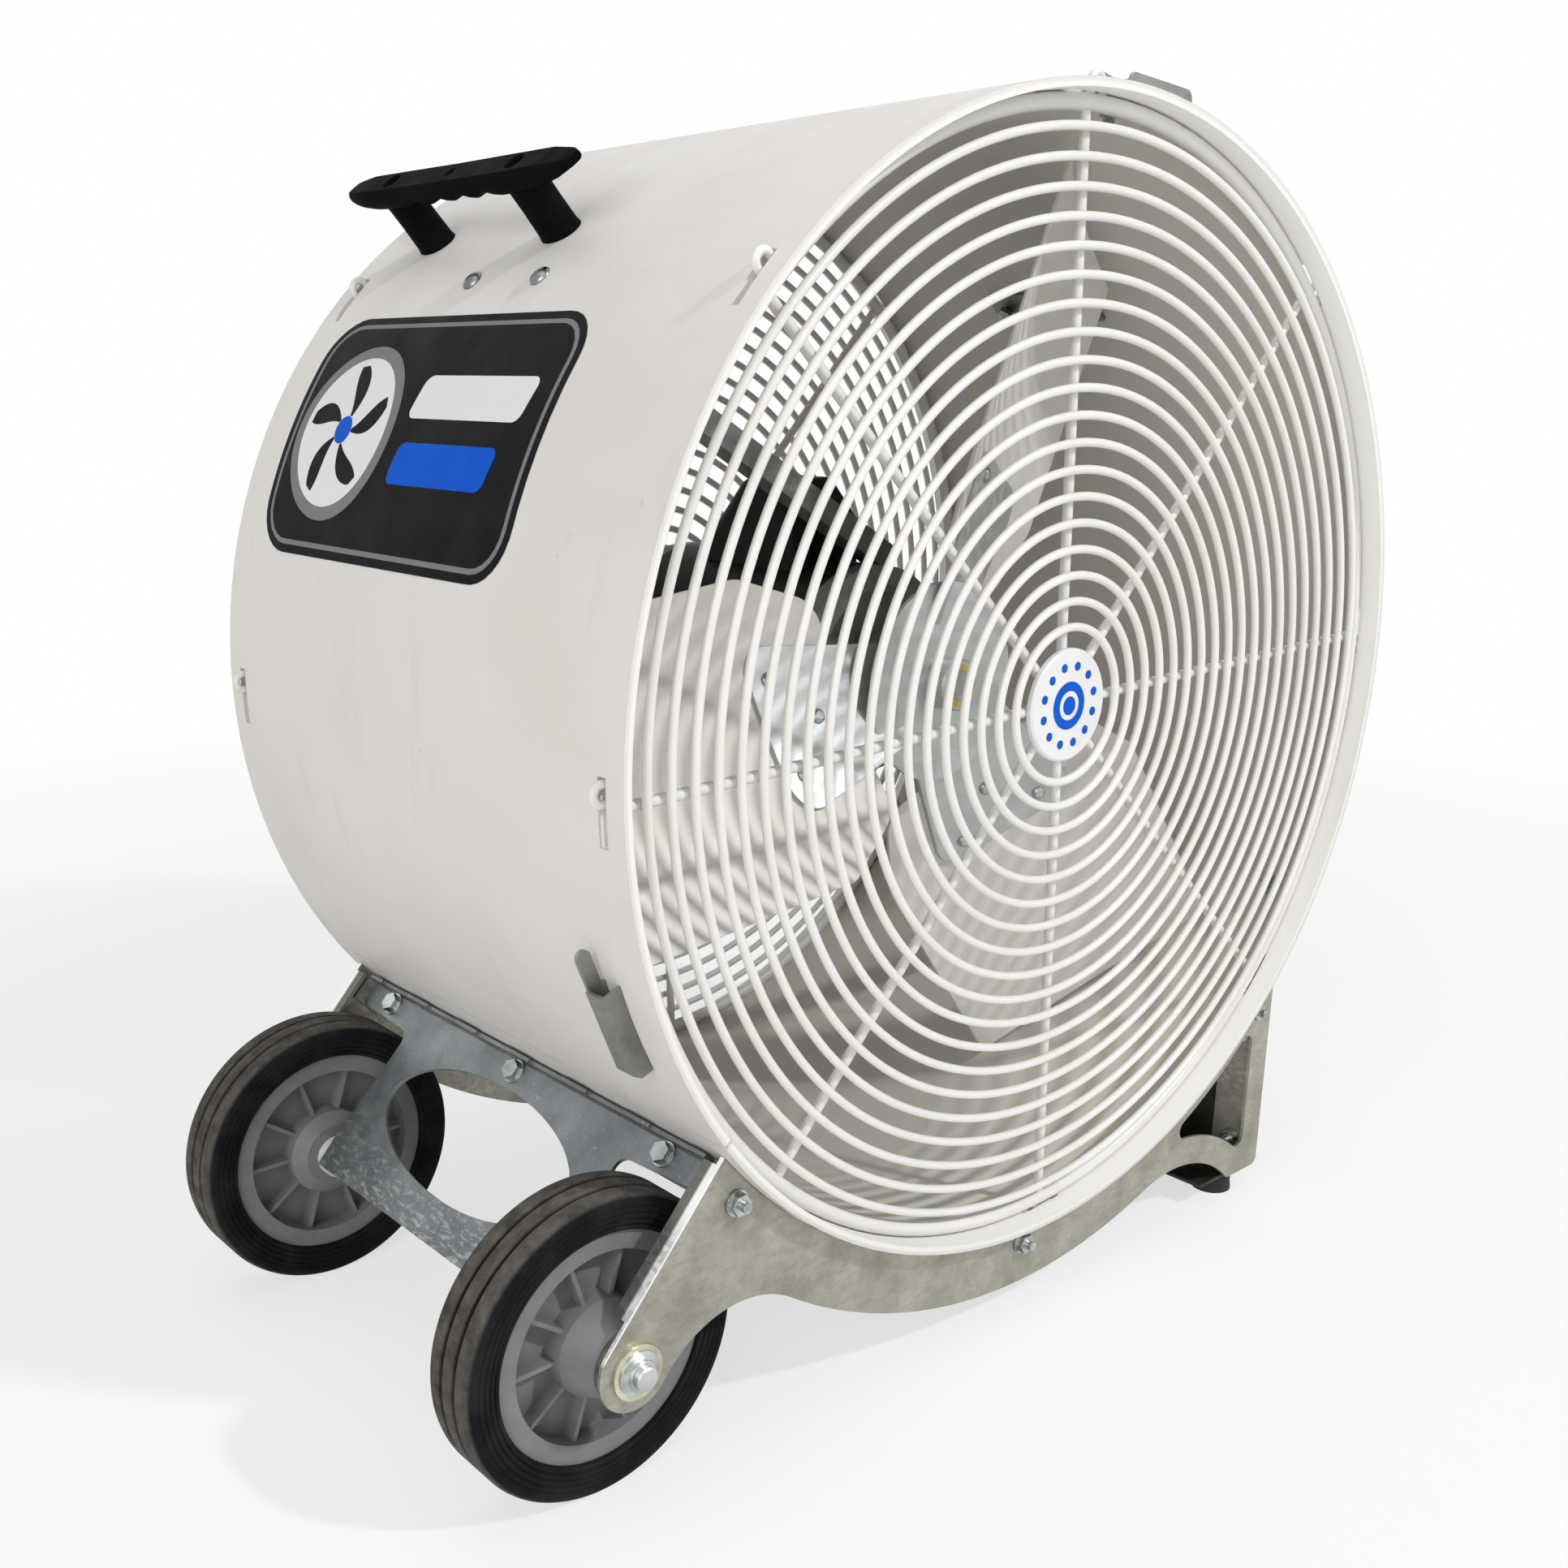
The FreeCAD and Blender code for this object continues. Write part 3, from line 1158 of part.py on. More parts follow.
def make_rotor():
    count = int(S["blade_count"])
    angles = [S["blade_first_angle"] + 360 * i / count for i in range(count)]
    shaft_end = SHELL_FRONT - 1
    shaft = doc.addObject("Part::Cylinder", "motor_shaft")
    bind(shaft, Radius="Sizes.shaft_diameter / 2")
    shaft.Height = shaft_end - HUB_FRONT
    shaft.Placement = Placement(AXIS + BACK * shaft_end, Rotation(Vector(1, 0, 0), 90))
    node(shaft, "motor_shaft")
    bush = S["hub_bush_diameter"] / 2
    flange = S["hub_flange_diameter"] / 2
    bore = S["shaft_diameter"] / 2
    disc_y = BLADE_Y - S["spider_sheet"] / 2
    hub = new_body("fan_hub")
    flange_start = disc_y + S["spider_sheet"] - HUB_FRONT
    flange_end = flange_start + S["hub_flange_thickness"]
    points = [(bore, 0), (bush * 0.92, 0), (bush, 1.5), (bush, flange_start), (flange, flange_start)]
    points += [(flange, flange_end), (bush, flange_end), (bush, S["hub_length"]), (bore, S["hub_length"])]
    revolve(hub, sketch_on(hub, "XY_Plane", profile(points)))
    place(hub, y=HUB_FRONT)
    node(hub, "fan_hub")
    disc = Part.makeCylinder(S["spider_disc_diameter"] / 2, S["spider_sheet"], BACK * disc_y, BACK)
    arm = spider_arm()
    spider = disc.fuse([turned(arm, angle) for angle in angles])
    keep_out = Part.makeCylinder(flange + 1, S["drum_depth"], BACK * (disc_y + S["spider_sheet"]), BACK)
    front_out = Part.makeCylinder(flange + 1, S["drum_depth"], BACK * (disc_y - S["drum_depth"]), BACK)
    hole = Part.makeCylinder(bush + 0.05, S["drum_depth"], BACK * FRONT, BACK)
    spider = spider.cut([keep_out, front_out, hole]).removeSplitter()
    shape_node("spider", spider)
    blade = blade_shape().cut(Part.makeCylinder(S["spider_disc_diameter"] / 2 + 3, S["drum_depth"], BACK * FRONT, BACK))
    for i, angle in enumerate(angles, start=1):
        shape_node(f"blade_{i}", turned(blade, angle))
    shape_node("blade_rivets", Part.makeCompound([turned(rivet, angle) for angle in angles for rivet in rivets()]))


def rivets():
    """Three rivet heads on the front of one spider arm."""
    centre, radius, _ = blade_arc(S["blade_sheet"] + S["spider_sheet"])
    head = S["rivet_diameter"] / 2
    height = S["rivet_height"]
    half = S["spider_arm_width"] / 2
    reach = S["spider_arm_reach"]
    places = [(reach - 3 * head, half * 0.55), (reach - 3 * head, -half * 0.55), (reach - 9 * head, 0)]
    solids = []
    for out, across in places:
        lift = math.sqrt(radius**2 - (across - centre.x) ** 2)
        base = Vector(out, centre.y + lift, across)
        normal = Vector(0, -lift, centre.x - across).normalize()
        base += normal * (head**2 / (2 * radius) + S["axle_running_gap"])
        shape = rod(head, base, normal, height * 0.4)
        shape = shape.fuse(Part.makeCone(head, head * 0.6, height * 0.6, base + normal * height * 0.4, normal))
        solids.append(shape)
    return solids


make_drum()
make_guard("front_guard", -1)
make_guard("rear_guard", 1)
make_badge("front_guard_disc", -1)
make_badge("rear_guard_disc", 1)
make_plate("front_plate", -1)
make_plate("rear_plate", 1)
make_plate_clips("front_plate_clips", -1)
make_plate_clips("rear_plate_clips", 1)
make_plate_bolts("front_plate_bolts", -1)
make_plate_bolts("rear_plate_bolts", 1)
make_panel()
make_rail()
make_panel_bolts()
make_foot_panel()
make_side_bolts()
make_foot("front_foot", -1)
make_foot("rear_foot", 1)
make_tyre("front_tyre", -1)
make_tyre("rear_tyre", 1)
make_wheel_hub("front_wheel_hub", -1)
make_wheel_hub("rear_wheel_hub", 1)
make_axle()
make_handle()
make_bracket("left_bracket", S["left_bracket_angle"], True)
make_bracket("top_bracket", S["top_bracket_angle"], False)
make_bracket("right_bracket", S["right_bracket_angle"], False)
make_motor()
make_cover()
make_struts()
make_rotor()

# Check every piece, then write it

doc.recompute()
for thing in doc.Objects:
    if "Invalid" in thing.State or "Error" in thing.State:
        raise RuntimeError(f"{thing.Label}: {thing.State}")
os.makedirs("parts", exist_ok=True)
for thing in NODES:
    if thing.Shape.isNull() or not thing.Shape.isValid():
        raise RuntimeError(f"{thing.Label}: the shape is not valid")
for thing in NODES:
    thing.Shape.exportStep(f"parts/{thing.Label}.step")
print(len(NODES), "pieces written")
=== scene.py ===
import math

import bmesh
import bpy
import numpy as np
from mathutils import Matrix, Vector


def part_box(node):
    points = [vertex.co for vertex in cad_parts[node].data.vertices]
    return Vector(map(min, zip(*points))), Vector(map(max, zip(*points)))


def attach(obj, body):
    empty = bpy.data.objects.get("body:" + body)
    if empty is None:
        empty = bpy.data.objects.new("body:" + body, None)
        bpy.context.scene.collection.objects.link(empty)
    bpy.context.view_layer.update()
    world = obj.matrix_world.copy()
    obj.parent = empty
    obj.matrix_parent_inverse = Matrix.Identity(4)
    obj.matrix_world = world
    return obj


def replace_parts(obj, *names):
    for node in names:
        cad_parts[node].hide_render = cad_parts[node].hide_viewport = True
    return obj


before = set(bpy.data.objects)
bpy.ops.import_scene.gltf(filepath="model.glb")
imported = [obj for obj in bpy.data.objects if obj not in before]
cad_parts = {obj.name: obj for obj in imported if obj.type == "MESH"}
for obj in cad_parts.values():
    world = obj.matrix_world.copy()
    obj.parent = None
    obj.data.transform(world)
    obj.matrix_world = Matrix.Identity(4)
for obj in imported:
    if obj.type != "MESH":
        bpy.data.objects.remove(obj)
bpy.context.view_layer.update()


# Drum: a strip of white sheet plastic, rolled up and butted under the fan, with slots for the guards' hooks.
# The wall is slightly wavy, a warm white, scuffed in places and greyer towards the floor.

FAN_AXIS = np.mean(np.array(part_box("drum")), axis=0) * 1000.0
FAN_MIDDLE = tuple(FAN_AXIS / 1000.0)
DRUM_WHITE = (0.745, 0.725, 0.69)
DRUM_STAIN = (0.60, 0.57, 0.51)
DRUM_SCUFF = (0.36, 0.345, 0.32)
DRUM_INSIDE_PAINTED_SHADE = (0.70, 0.665, 0.605)
DRUM_LIP_PAINTED_LIGHT = (0.84, 0.83, 0.80)
DRUM_ROUGH = 0.56
DRUM_GLOSS = 0.35
DRUM_STAINS = (5.0, 8.0, 0.62, 0.50, 0.80, 0.45)
DRUM_RUNS = (1.0, 6.0, 0.65, 0.58, 0.76, 0.40)
DRUM_RUN_STRETCH = (7.0, 34.0, 7.0)
DRUM_GREYING_PATCHES = (9.0, 6.0, 0.55, 0.25, 0.70, 1.0)
DRUM_GREYING_HEIGHTS = (0.50, 0.06)
DRUM_GREYING_SHARE = 0.55
DRUM_MARKS = (55.0, 7.0, 0.72, 0.665, 0.72, 0.55)
DRUM_MARK_ZONES = (6.0, 3.0, 0.55, 0.45, 0.60, 1.0)
DRUM_LIT_LIP_DEPTHS = (0.180, 0.190)
DRUM_WALL_RADII = (0.3285, 0.3270)
DRUM_SHEEN = (20.0, 5.0, 0.48, 0.68)
DRUM_WAVES = (11.0, 3.0, 0.16, 0.004)
EDGE_PLASTIC = 0.0007


class Finish:
    """A node material: one principled surface with patterns on Object coordinates in metres."""

    USUAL = (0.3, 0.7)
    EDGE_SAMPLES = 4

    def __init__(self, name, rough, metal=0.0, gloss=0.5):
        self.material = bpy.data.materials.new(name)
        self.material.use_nodes = True
        self.tree = self.material.node_tree
        self.surface = self.tree.nodes["Principled BSDF"]
        self.surface.inputs["Roughness"].default_value = rough
        self.surface.inputs["Metallic"].default_value = metal
        self.surface.inputs["Specular IOR Level"].default_value = gloss
        self.place = self.tree.nodes.new("ShaderNodeTexCoord").outputs["Object"]

    def new(self, kind, source, socket, **values):
        """A node with one linked input and its other inputs set."""
        node = self.tree.nodes.new(kind)
        for name, value in values.items():
            node.inputs[name.replace("_", " ")].default_value = value
        self.tree.links.new(source, node.inputs[socket])
        return node

    def stretched(self, scale, centre=(0.0, 0.0, 0.0)):
        """Object coordinates less a centre, each axis times its own scale."""
        shift = tuple(-s * c for s, c in zip(scale, centre))
        node = self.new("ShaderNodeMapping", self.place, "Vector", Scale=scale, Location=shift)
        return node.outputs["Vector"]

    def noise(self, scale, detail, rough=0.55, vector=None):
        """Cloudy noise between 0 and 1, mostly near a half."""
        values = {"Scale": scale, "Detail": detail, "Roughness": rough}
        return self.new("ShaderNodeTexNoise", vector or self.place, "Vector", **values).outputs["Fac"]

    def crystals(self, scale, vector):
        """One random grey for each cell of a foam."""
        cells = self.new("ShaderNodeTexVoronoi", vector, "Vector", Scale=scale)
        return self.new("ShaderNodeSeparateColor", cells.outputs["Color"], "Color").outputs["Red"]

    def flecks(self, scale, size, strength):
        """Small round spots in the middle of the cells of a foam."""
        cells = self.new("ShaderNodeTexVoronoi", self.place, "Vector", Scale=scale)
        return self.ramp(cells.outputs["Distance"], size, size * 0.5, 0.0, strength)

    def height(self):
        """Distance above the floor."""
        return self.new("ShaderNodeSeparateXYZ", self.place, "Vector").outputs["Z"]

    def depth(self):
        """Distance from the plane across the drum's middle."""
        y = self.new("ShaderNodeSeparateXYZ", self.place, "Vector").outputs["Y"]
        node = self.new("ShaderNodeMath", y, 0)
        node.operation = "ABSOLUTE"
        return node.outputs["Value"]

    def beyond(self, point, direction):
        """Signed distance from a plane through a point, square to a direction."""
        node = self.new("ShaderNodeVectorMath", self.stretched((1.0, 1.0, 1.0), point), 0)
        node.operation = "DOT_PRODUCT"
        node.inputs[1].default_value = direction
        return node.outputs["Value"]

    def reach(self, centre):
        """Distance from a line along Y through a centre."""
        flat = self.stretched((1.0, 0.0, 1.0), (centre[0], 0.0, centre[2]))
        node = self.new("ShaderNodeVectorMath", flat, "Vector")
        node.operation = "LENGTH"
        return node.outputs["Value"]

    def ramp(self, factor, low, high, start=0.0, end=1.0):
        """A straight line from start at the low value to end at the high one, level past both."""
        values = {"From_Min": low, "From_Max": high, "To_Min": start, "To_Max": end}
        return self.new("ShaderNodeMapRange", factor, "Value", **values).outputs["Result"]

    def patches(self, pattern, vector=None):
        """Noise of a scale, detail and roughness, raised between a low and a high value to a strength."""
        scale, detail, rough, low, high, strength = pattern
        return self.ramp(self.noise(scale, detail, rough, vector), low, high, 0.0, strength)

    def product(self, first, second):
        """One pattern times another."""
        node = self.tree.nodes.new("ShaderNodeMath")
        node.operation = "MULTIPLY"
        self.tree.links.new(first, node.inputs[0])
        self.tree.links.new(second, node.inputs[1])
        return node.outputs["Value"]

    def mix(self, factor, first, second):
        """First colour where the factor is 0, second where it is 1."""
        node = self.tree.nodes.new("ShaderNodeMix")
        node.data_type = "RGBA"
        self.tree.links.new(factor, node.inputs["Factor"])
        for socket, value in ((node.inputs[6], first), (node.inputs[7], second)):
            if isinstance(value, tuple):
                socket.default_value = (*value, 1.0)
            else:
                self.tree.links.new(value, socket)
        return node.outputs[2]

    def colour(self, socket):
        """The surface's colour."""
        self.tree.links.new(socket, self.surface.inputs["Base Color"])

    def roughness(self, pattern, low, high):
        """Roughness from low to high over the usual range of a pattern."""
        rough = self.ramp(pattern, *self.USUAL, low, high)
        self.tree.links.new(rough, self.surface.inputs["Roughness"])

    def sheen(self, pattern):
        """Roughness that drifts with a noise of a scale and detail, between a low and a high value."""
        scale, detail, low, high = pattern
        self.roughness(self.noise(scale, detail), low, high)

    def relief(self, pattern, edge=0.0):
        """Relief from a noise of a scale, detail, strength and depth, on a normal rounded over the edges."""
        scale, detail, strength, depth = pattern
        noise = self.noise(scale, detail)
        node = self.new("ShaderNodeBump", noise, "Height", Strength=strength, Distance=depth)
        if edge:
            bevel = self.tree.nodes.new("ShaderNodeBevel")
            bevel.samples = self.EDGE_SAMPLES
            bevel.inputs["Radius"].default_value = edge
            self.tree.links.new(bevel.outputs["Normal"], node.inputs["Normal"])
        self.tree.links.new(node.outputs["Normal"], self.surface.inputs["Normal"])


def dress(material, *nodes):
    """Gives the CAD nodes a finish."""
    for name in nodes:
        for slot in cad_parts[name].material_slots:
            slot.material = material


def drum_finish():
    """Warm white with stains, runs and scuffs outside; inside plain and darker as painted shade, with a band
    of painted light along the lip.
    """
    f = Finish("drum_white_plastic", DRUM_ROUGH, 0.0, DRUM_GLOSS)
    stains = f.patches(DRUM_STAINS)
    runs = f.patches(DRUM_RUNS, f.stretched(DRUM_RUN_STRETCH))
    # Greyer in patches towards the bottom of the drum.
    low = f.product(f.ramp(f.height(), *DRUM_GREYING_HEIGHTS, 0.0, DRUM_GREYING_SHARE), f.patches(DRUM_GREYING_PATCHES))
    scuffs = f.product(f.patches(DRUM_MARKS), f.patches(DRUM_MARK_ZONES))
    white = f.mix(runs, f.mix(stains, DRUM_WHITE, DRUM_STAIN), DRUM_STAIN)
    outside = f.mix(scuffs, f.mix(low, white, DRUM_STAIN), DRUM_SCUFF)
    # Inside the wall: darker as painted shade, and lighter near each edge as painted light on the lip.
    inside = f.mix(f.ramp(f.depth(), *DRUM_LIT_LIP_DEPTHS), DRUM_INSIDE_PAINTED_SHADE, DRUM_LIP_PAINTED_LIGHT)
    f.colour(f.mix(f.ramp(f.reach(FAN_MIDDLE), *DRUM_WALL_RADII), outside, inside))
    f.sheen(DRUM_SHEEN)
    f.relief(DRUM_WAVES, EDGE_PLASTIC)
    return f.material


dress(drum_finish(), "drum")


# Print on the drum: a plain plate of thin vinyl with an impeller sign and two bars, stuck on
# under the handle. Its layers are cut sheets a tenth of a millimetre thick that follow the wall.

DRUM_RADIUS = 330.0
AXIS_PLACE = FAN_AXIS * np.array([1.0, 0.0, 1.0])
AXIS_DIRECTION = np.array([0.0, 1.0, 0.0])
UPRIGHT = np.array([0.0, 0.0, 1.0])
NEARLY_ALONG = 0.9
PRINT_ANGLE = 152.5
PRINT_Y = 40.0
PRINT_LIFT = 0.15
PRINT_PLATE_STEPS = 24
PRINT_STEPS = 10
PRINT_SMALL_STEPS = 6
SIGN_S = -66.0
SIGN_HUB = 8.5
PETAL_COUNT = 5
PETAL_INNER = 9.0
PETAL_OUTER = 41.0
PETAL_SPREAD = 15.0
PETAL_LEAN = 26.0
PETAL_SWELL = (0.12, 0.80)
PETAL_BLUNT = 0.8
PETAL_STEPS = 14
BAR_CORNER = 6.0
BAR_SLANT = 0.18
CORNER_STEP = 6.0
SHEET_PINHOLE = 0.04
SHEET_CREASE = 60.0
VINYL_LAYER = 0.12
VINYL_BLACK = (0.008, 0.008, 0.010)
VINYL_DUST = (0.40, 0.39, 0.37)
VINYL_GREY = (0.21, 0.21, 0.215)
VINYL_WHITE = (0.80, 0.80, 0.80)
VINYL_BLUE = (0.006, 0.10, 0.60)
VINYL_SURFACE = (0.44, 0.0, 0.03)
VINYL_BLOOM = (26.0, 6.0, 0.55, 0.45, 0.80, 0.025)
VINYL_SHEEN = (40.0, 4.0, 0.34, 0.48)
VINYL_GRAIN = (300.0, 2.0, 0.08, 0.0002)


class Shell:
    """Grids of points in millimetres from the fan's axis and the drum's middle, made into one piece."""

    def __init__(self):
        self.points = []
        self.faces = []
        self.count = 0

    def grid(self, points, close_u=False, close_v=False):
        """Quads between neighbours of a grid of points, joined up where a side closes on itself."""
        p = np.asarray(points, dtype=float)
        rows, columns = p.shape[:2]
        index = np.arange(rows * columns).reshape(rows, columns) + self.count
        index = np.vstack([index, index[:1]]) if close_u else index
        index = np.hstack([index, index[:, :1]]) if close_v else index
        quads = np.stack([index[:-1, :-1], index[1:, :-1], index[1:, 1:], index[:-1, 1:]], axis=-1)
        self.points.append(p.reshape(-1, 3))
        self.faces.extend(quads.reshape(-1, 4).tolist())
        self.count += rows * columns
        return index

    def loft(self, rings):
        """A tube through closed rings of points, with one face over each end."""
        index = self.grid(rings, close_v=True)
        self.faces.append(index[0, :-1][::-1].tolist())
        self.faces.append(index[-1, :-1].tolist())

    def wire(self, path, radius, sides, closed=False):
        """A circle of a radius carried along a path, square to it."""
        p = np.asarray(path, dtype=float)
        along = np.roll(p, -1, axis=0) - np.roll(p, 1, axis=0) if closed else np.gradient(p, axis=0)
        along = along / np.linalg.norm(along, axis=1)[:, None]
        side = np.cross(along, AXIS_DIRECTION)
        side = side / np.linalg.norm(side, axis=1)[:, None]
        other = np.cross(side, along)
        turn = np.linspace(0, 2 * math.pi, sides, endpoint=False)[None, :, None]
        spin = np.cos(turn) * side[:, None, :] + np.sin(turn) * other[:, None, :]
        rings = p[:, None, :] + radius * spin
        if closed:
            self.grid(rings, close_u=True, close_v=True)
        else:
            self.loft(rings)

    def lathe(self, profile, base, along, steps, phase=0.0):
        """A profile of (radius, height) turned about the line from a base, with both ends closed."""
        radius, height = np.array(profile, dtype=float).T
        axis = np.asarray(along, dtype=float)
        side = np.cross(axis, AXIS_DIRECTION if abs(axis[1]) < NEARLY_ALONG else UPRIGHT)
        side = side / np.linalg.norm(side)
        other = np.cross(axis, side)
        turn = (np.linspace(0, 2 * math.pi, steps, endpoint=False) + phase)[None, :, None]
        spin = np.cos(turn) * side + np.sin(turn) * other
        self.loft(np.asarray(base) + height[:, None, None] * axis + radius[:, None, None] * spin)

    def build(self, name, material, body, crease):
        """The finished object: faces turned outwards, smooth up to a crease angle, on its body."""
        mesh = bpy.data.meshes.new(name)
        points = (np.vstack(self.points) + AXIS_PLACE) / 1000.0
        mesh.from_pydata(points.tolist(), [], self.faces)
        work = bmesh.new()
        work.from_mesh(mesh)
        bmesh.ops.recalc_face_normals(work, faces=work.faces)
        work.to_mesh(mesh)
        work.free()
        mesh.polygons.foreach_set("use_smooth", np.ones(len(mesh.polygons), dtype=bool))
        mesh.set_sharp_from_angle(angle=math.radians(crease))
        mesh.materials.append(material)
        obj = bpy.data.objects.new(name, mesh)
        bpy.context.collection.objects.link(obj)
        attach(obj, body)
        return obj


def around(radius, degrees, y):
    """Points at a radius and an angle of the front view, at a depth."""
    a = np.radians(degrees)
    return np.stack(np.broadcast_arrays(radius * np.cos(a), y, radius * np.sin(a)), axis=-1)


def on_drum(s, t, lift):
    """A point of the print: s towards the front, t up round the wall, lifted off it."""
    angle = PRINT_ANGLE - np.degrees(t / DRUM_RADIUS)
    return around(DRUM_RADIUS + PRINT_LIFT + lift, angle, PRINT_Y - s)


def cloudy_finish(name, surface, colours, clouds, sheen, relief, edge=0.0):
    """Two colours mixed by patches of noise, with a sheen and a relief."""
    f = Finish(name, *surface)
    f.colour(f.mix(f.patches(clouds), *colours))
    f.sheen(sheen)
    f.relief(relief, edge)
    return f.material


def vinyl_finish(name, colour):
    """One colour all over, under a thin bloom of dust."""
    return cloudy_finish(name, VINYL_SURFACE, (colour, VINYL_DUST), VINYL_BLOOM, VINYL_SHEEN, VINYL_GRAIN)


def cut_sheet(surface, outline, centre, layer, name, material, steps):
    """A flat shape: its outline drawn in to a centre in steps, once on top and once underneath."""
    edge = np.asarray(outline, dtype=float)
    middle = np.asarray(centre, dtype=float)
    share = np.linspace(SHEET_PINHOLE, 1.0, steps)
    share = np.concatenate([share, share[::-1]])
    lift = np.repeat([VINYL_LAYER * (layer + 1), VINYL_LAYER * layer], steps)
    p = middle + share[:, None, None] * (edge[None, :, :] - middle)
    sheet = Shell()
    sheet.loft(surface(p[..., 0], p[..., 1], lift[:, None]))
    sheet.build(name, material, "frame", SHEET_CREASE)


def bar_outline(s, t, width, height, radius, slant=0.0, count=120):
    """A bar with round corners: quarter circles on a rectangle's corners, spread evenly along its length."""
    turn = np.radians(np.arange(0, 360, CORNER_STEP) + CORNER_STEP / 2)
    x = np.sign(np.cos(turn)) * (width / 2 - radius) + radius * np.cos(turn)
    y = np.sign(np.sin(turn)) * (height / 2 - radius) + radius * np.sin(turn)
    x = np.append(x, x[0])
    y = np.append(y, y[0])
    length = np.concatenate([[0.0], np.cumsum(np.hypot(np.diff(x), np.diff(y)))])
    even = np.linspace(0, length[-1], count, endpoint=False)
    x = np.interp(even, length, x)
    y = np.interp(even, length, y)
    return np.stack([s + x + slant * y, t + y], axis=-1)


def ring_outline(s, t, radius, count=72):
    """A circle of a radius round a point."""
    turn = np.linspace(0, 2 * math.pi, count, endpoint=False)
    return np.stack([s + radius * np.cos(turn), t + radius * np.sin(turn)], axis=-1)


def petal_outline(s, t, angle):
    """A leaning blade: the angle grows with the radius, and the width swells in the middle."""
    way = np.linspace(0, 1, PETAL_STEPS)
    lean = angle + PETAL_LEAN * way
    wide = PETAL_SPREAD * np.sin(math.pi * (PETAL_SWELL[0] + PETAL_SWELL[1] * way)) ** PETAL_BLUNT
    a = np.radians(np.concatenate([lean - wide, (lean + wide)[::-1]]))
    r = PETAL_INNER + (PETAL_OUTER - PETAL_INNER) * np.concatenate([way, way[::-1]])
    return np.stack([s + r * np.cos(a), t + r * np.sin(a)], axis=-1)


def stick(name, outline, centre, layer, material, steps=PRINT_STEPS):
    """A cut sheet on the drum's wall."""
    cut_sheet(on_drum, outline, centre, layer, name, material, steps)


vinyl_black = vinyl_finish("vinyl_black", VINYL_BLACK)
vinyl_grey = vinyl_finish("vinyl_grey", VINYL_GREY)
vinyl_white = vinyl_finish("vinyl_white", VINYL_WHITE)
vinyl_blue = vinyl_finish("vinyl_blue", VINYL_BLUE)
PRINT_PLATES = (
    ("print_plate", 262.0, 150.0, 30.0, vinyl_black),
    ("print_border", 252.0, 140.0, 25.0, vinyl_grey),
    ("print_field", 246.0, 134.0, 22.0, vinyl_black),
)
PRINT_RINGS = (("print_ring", 54.0, vinyl_grey), ("print_disc", 46.0, vinyl_white))
PRINT_BARS = (
    ("print_bar_white", 54.0, 22.0, 108.0, 26.0, vinyl_white),
    ("print_bar_blue", 48.0, -17.0, 96.0, 24.0, vinyl_blue),
)
RING_LAYER = len(PRINT_PLATES)
PETAL_LAYER = RING_LAYER + len(PRINT_RINGS)

for layer, (name, width, height, corner, vinyl) in enumerate(PRINT_PLATES):
    stick(name, bar_outline(0.0, 0.0, width, height, corner), (0.0, 0.0), layer, vinyl, PRINT_PLATE_STEPS)
for layer, (name, radius, vinyl) in enumerate(PRINT_RINGS):
    stick(name, ring_outline(SIGN_S, 0.0, radius), (SIGN_S, 0.0), RING_LAYER + layer, vinyl)
for i in range(PETAL_COUNT):
    petal = petal_outline(SIGN_S, 0.0, i * 360.0 / PETAL_COUNT)
    stick(f"print_petal_{i + 1}", petal, petal.mean(axis=0), PETAL_LAYER, vinyl_black, PRINT_SMALL_STEPS)
sign_hub = ring_outline(SIGN_S, 0.0, SIGN_HUB)
stick("print_hub", sign_hub, (SIGN_S, 0.0), PETAL_LAYER, vinyl_blue, PRINT_SMALL_STEPS)
for name, s, t, width, height, vinyl in PRINT_BARS:
    stick(name, bar_outline(s, t, width, height, BAR_CORNER, BAR_SLANT), (s, t), RING_LAYER, vinyl)


# Wire guards: rings of round steel wire welded across eight spokes and a thick rim wire, coated white.
# Eight bent hooks on each pass out through slots in the drum's wall and hold the guard in place.

GUARD_COLOURS = ((0.81, 0.80, 0.775), (0.70, 0.68, 0.64))
GUARD_SURFACE = (0.36, 0.0)
GUARD_DULL = (14.0, 6.0, 0.55, 0.45, 0.75, 0.45)
GUARD_SHEEN = (60.0, 4.0, 0.28, 0.46)
GUARD_GRAIN = (350.0, 3.0, 0.10, 0.0003)
HALF_DEPTH = 202.5
INNER_RADIUS = 325.0
GUARD_RECESS = 11.0
RING_WIRE = 2.5
RING_FIRST = 308.0
RING_PITCH = 14.6
RING_LAST = 40.0
RING_LEAST_STEPS = 40
RIM_WIRE = 4.6
RIM_GAP = 0.4
SPOKE_WIRE = 3.0
SPOKE_COUNT = 8
SPOKE_TURN = 1.5
SPOKE_START = 12.0
SPOKE_SINK = 0.6
SPOKE_STEPS = 5
HOOK_BEND = 4.8
HOOK_WIRE = 2.25
HOOK_LEG = 6.0
HOOK_LEG_END = 1.0
HOOK_LEG_STEPS = 4
HOOK_STEPS = 17
FRONT_STEPS = (176, 12)
REAR_STEPS = (128, 8)
WIRE_CREASE = 50.0


def hook_path(angle, y):
    """Half a circle round a point of the drum's outer face, across the axis, on two straight legs."""
    bend = np.radians(np.linspace(-90, 90, HOOK_STEPS))
    leg = np.linspace(HOOK_LEG, HOOK_LEG_END, HOOK_LEG_STEPS)
    out = np.concatenate([-leg, HOOK_BEND * np.cos(bend), -leg[::-1]]) + DRUM_RADIUS
    across = HOOK_BEND * np.concatenate([0 * leg - 1, np.sin(bend), 0 * leg + 1])
    line = out[:, None] * around(1.0, angle, 0.0) + across[:, None] * around(1.0, angle + 90, 0.0)
    return line + y * AXIS_DIRECTION


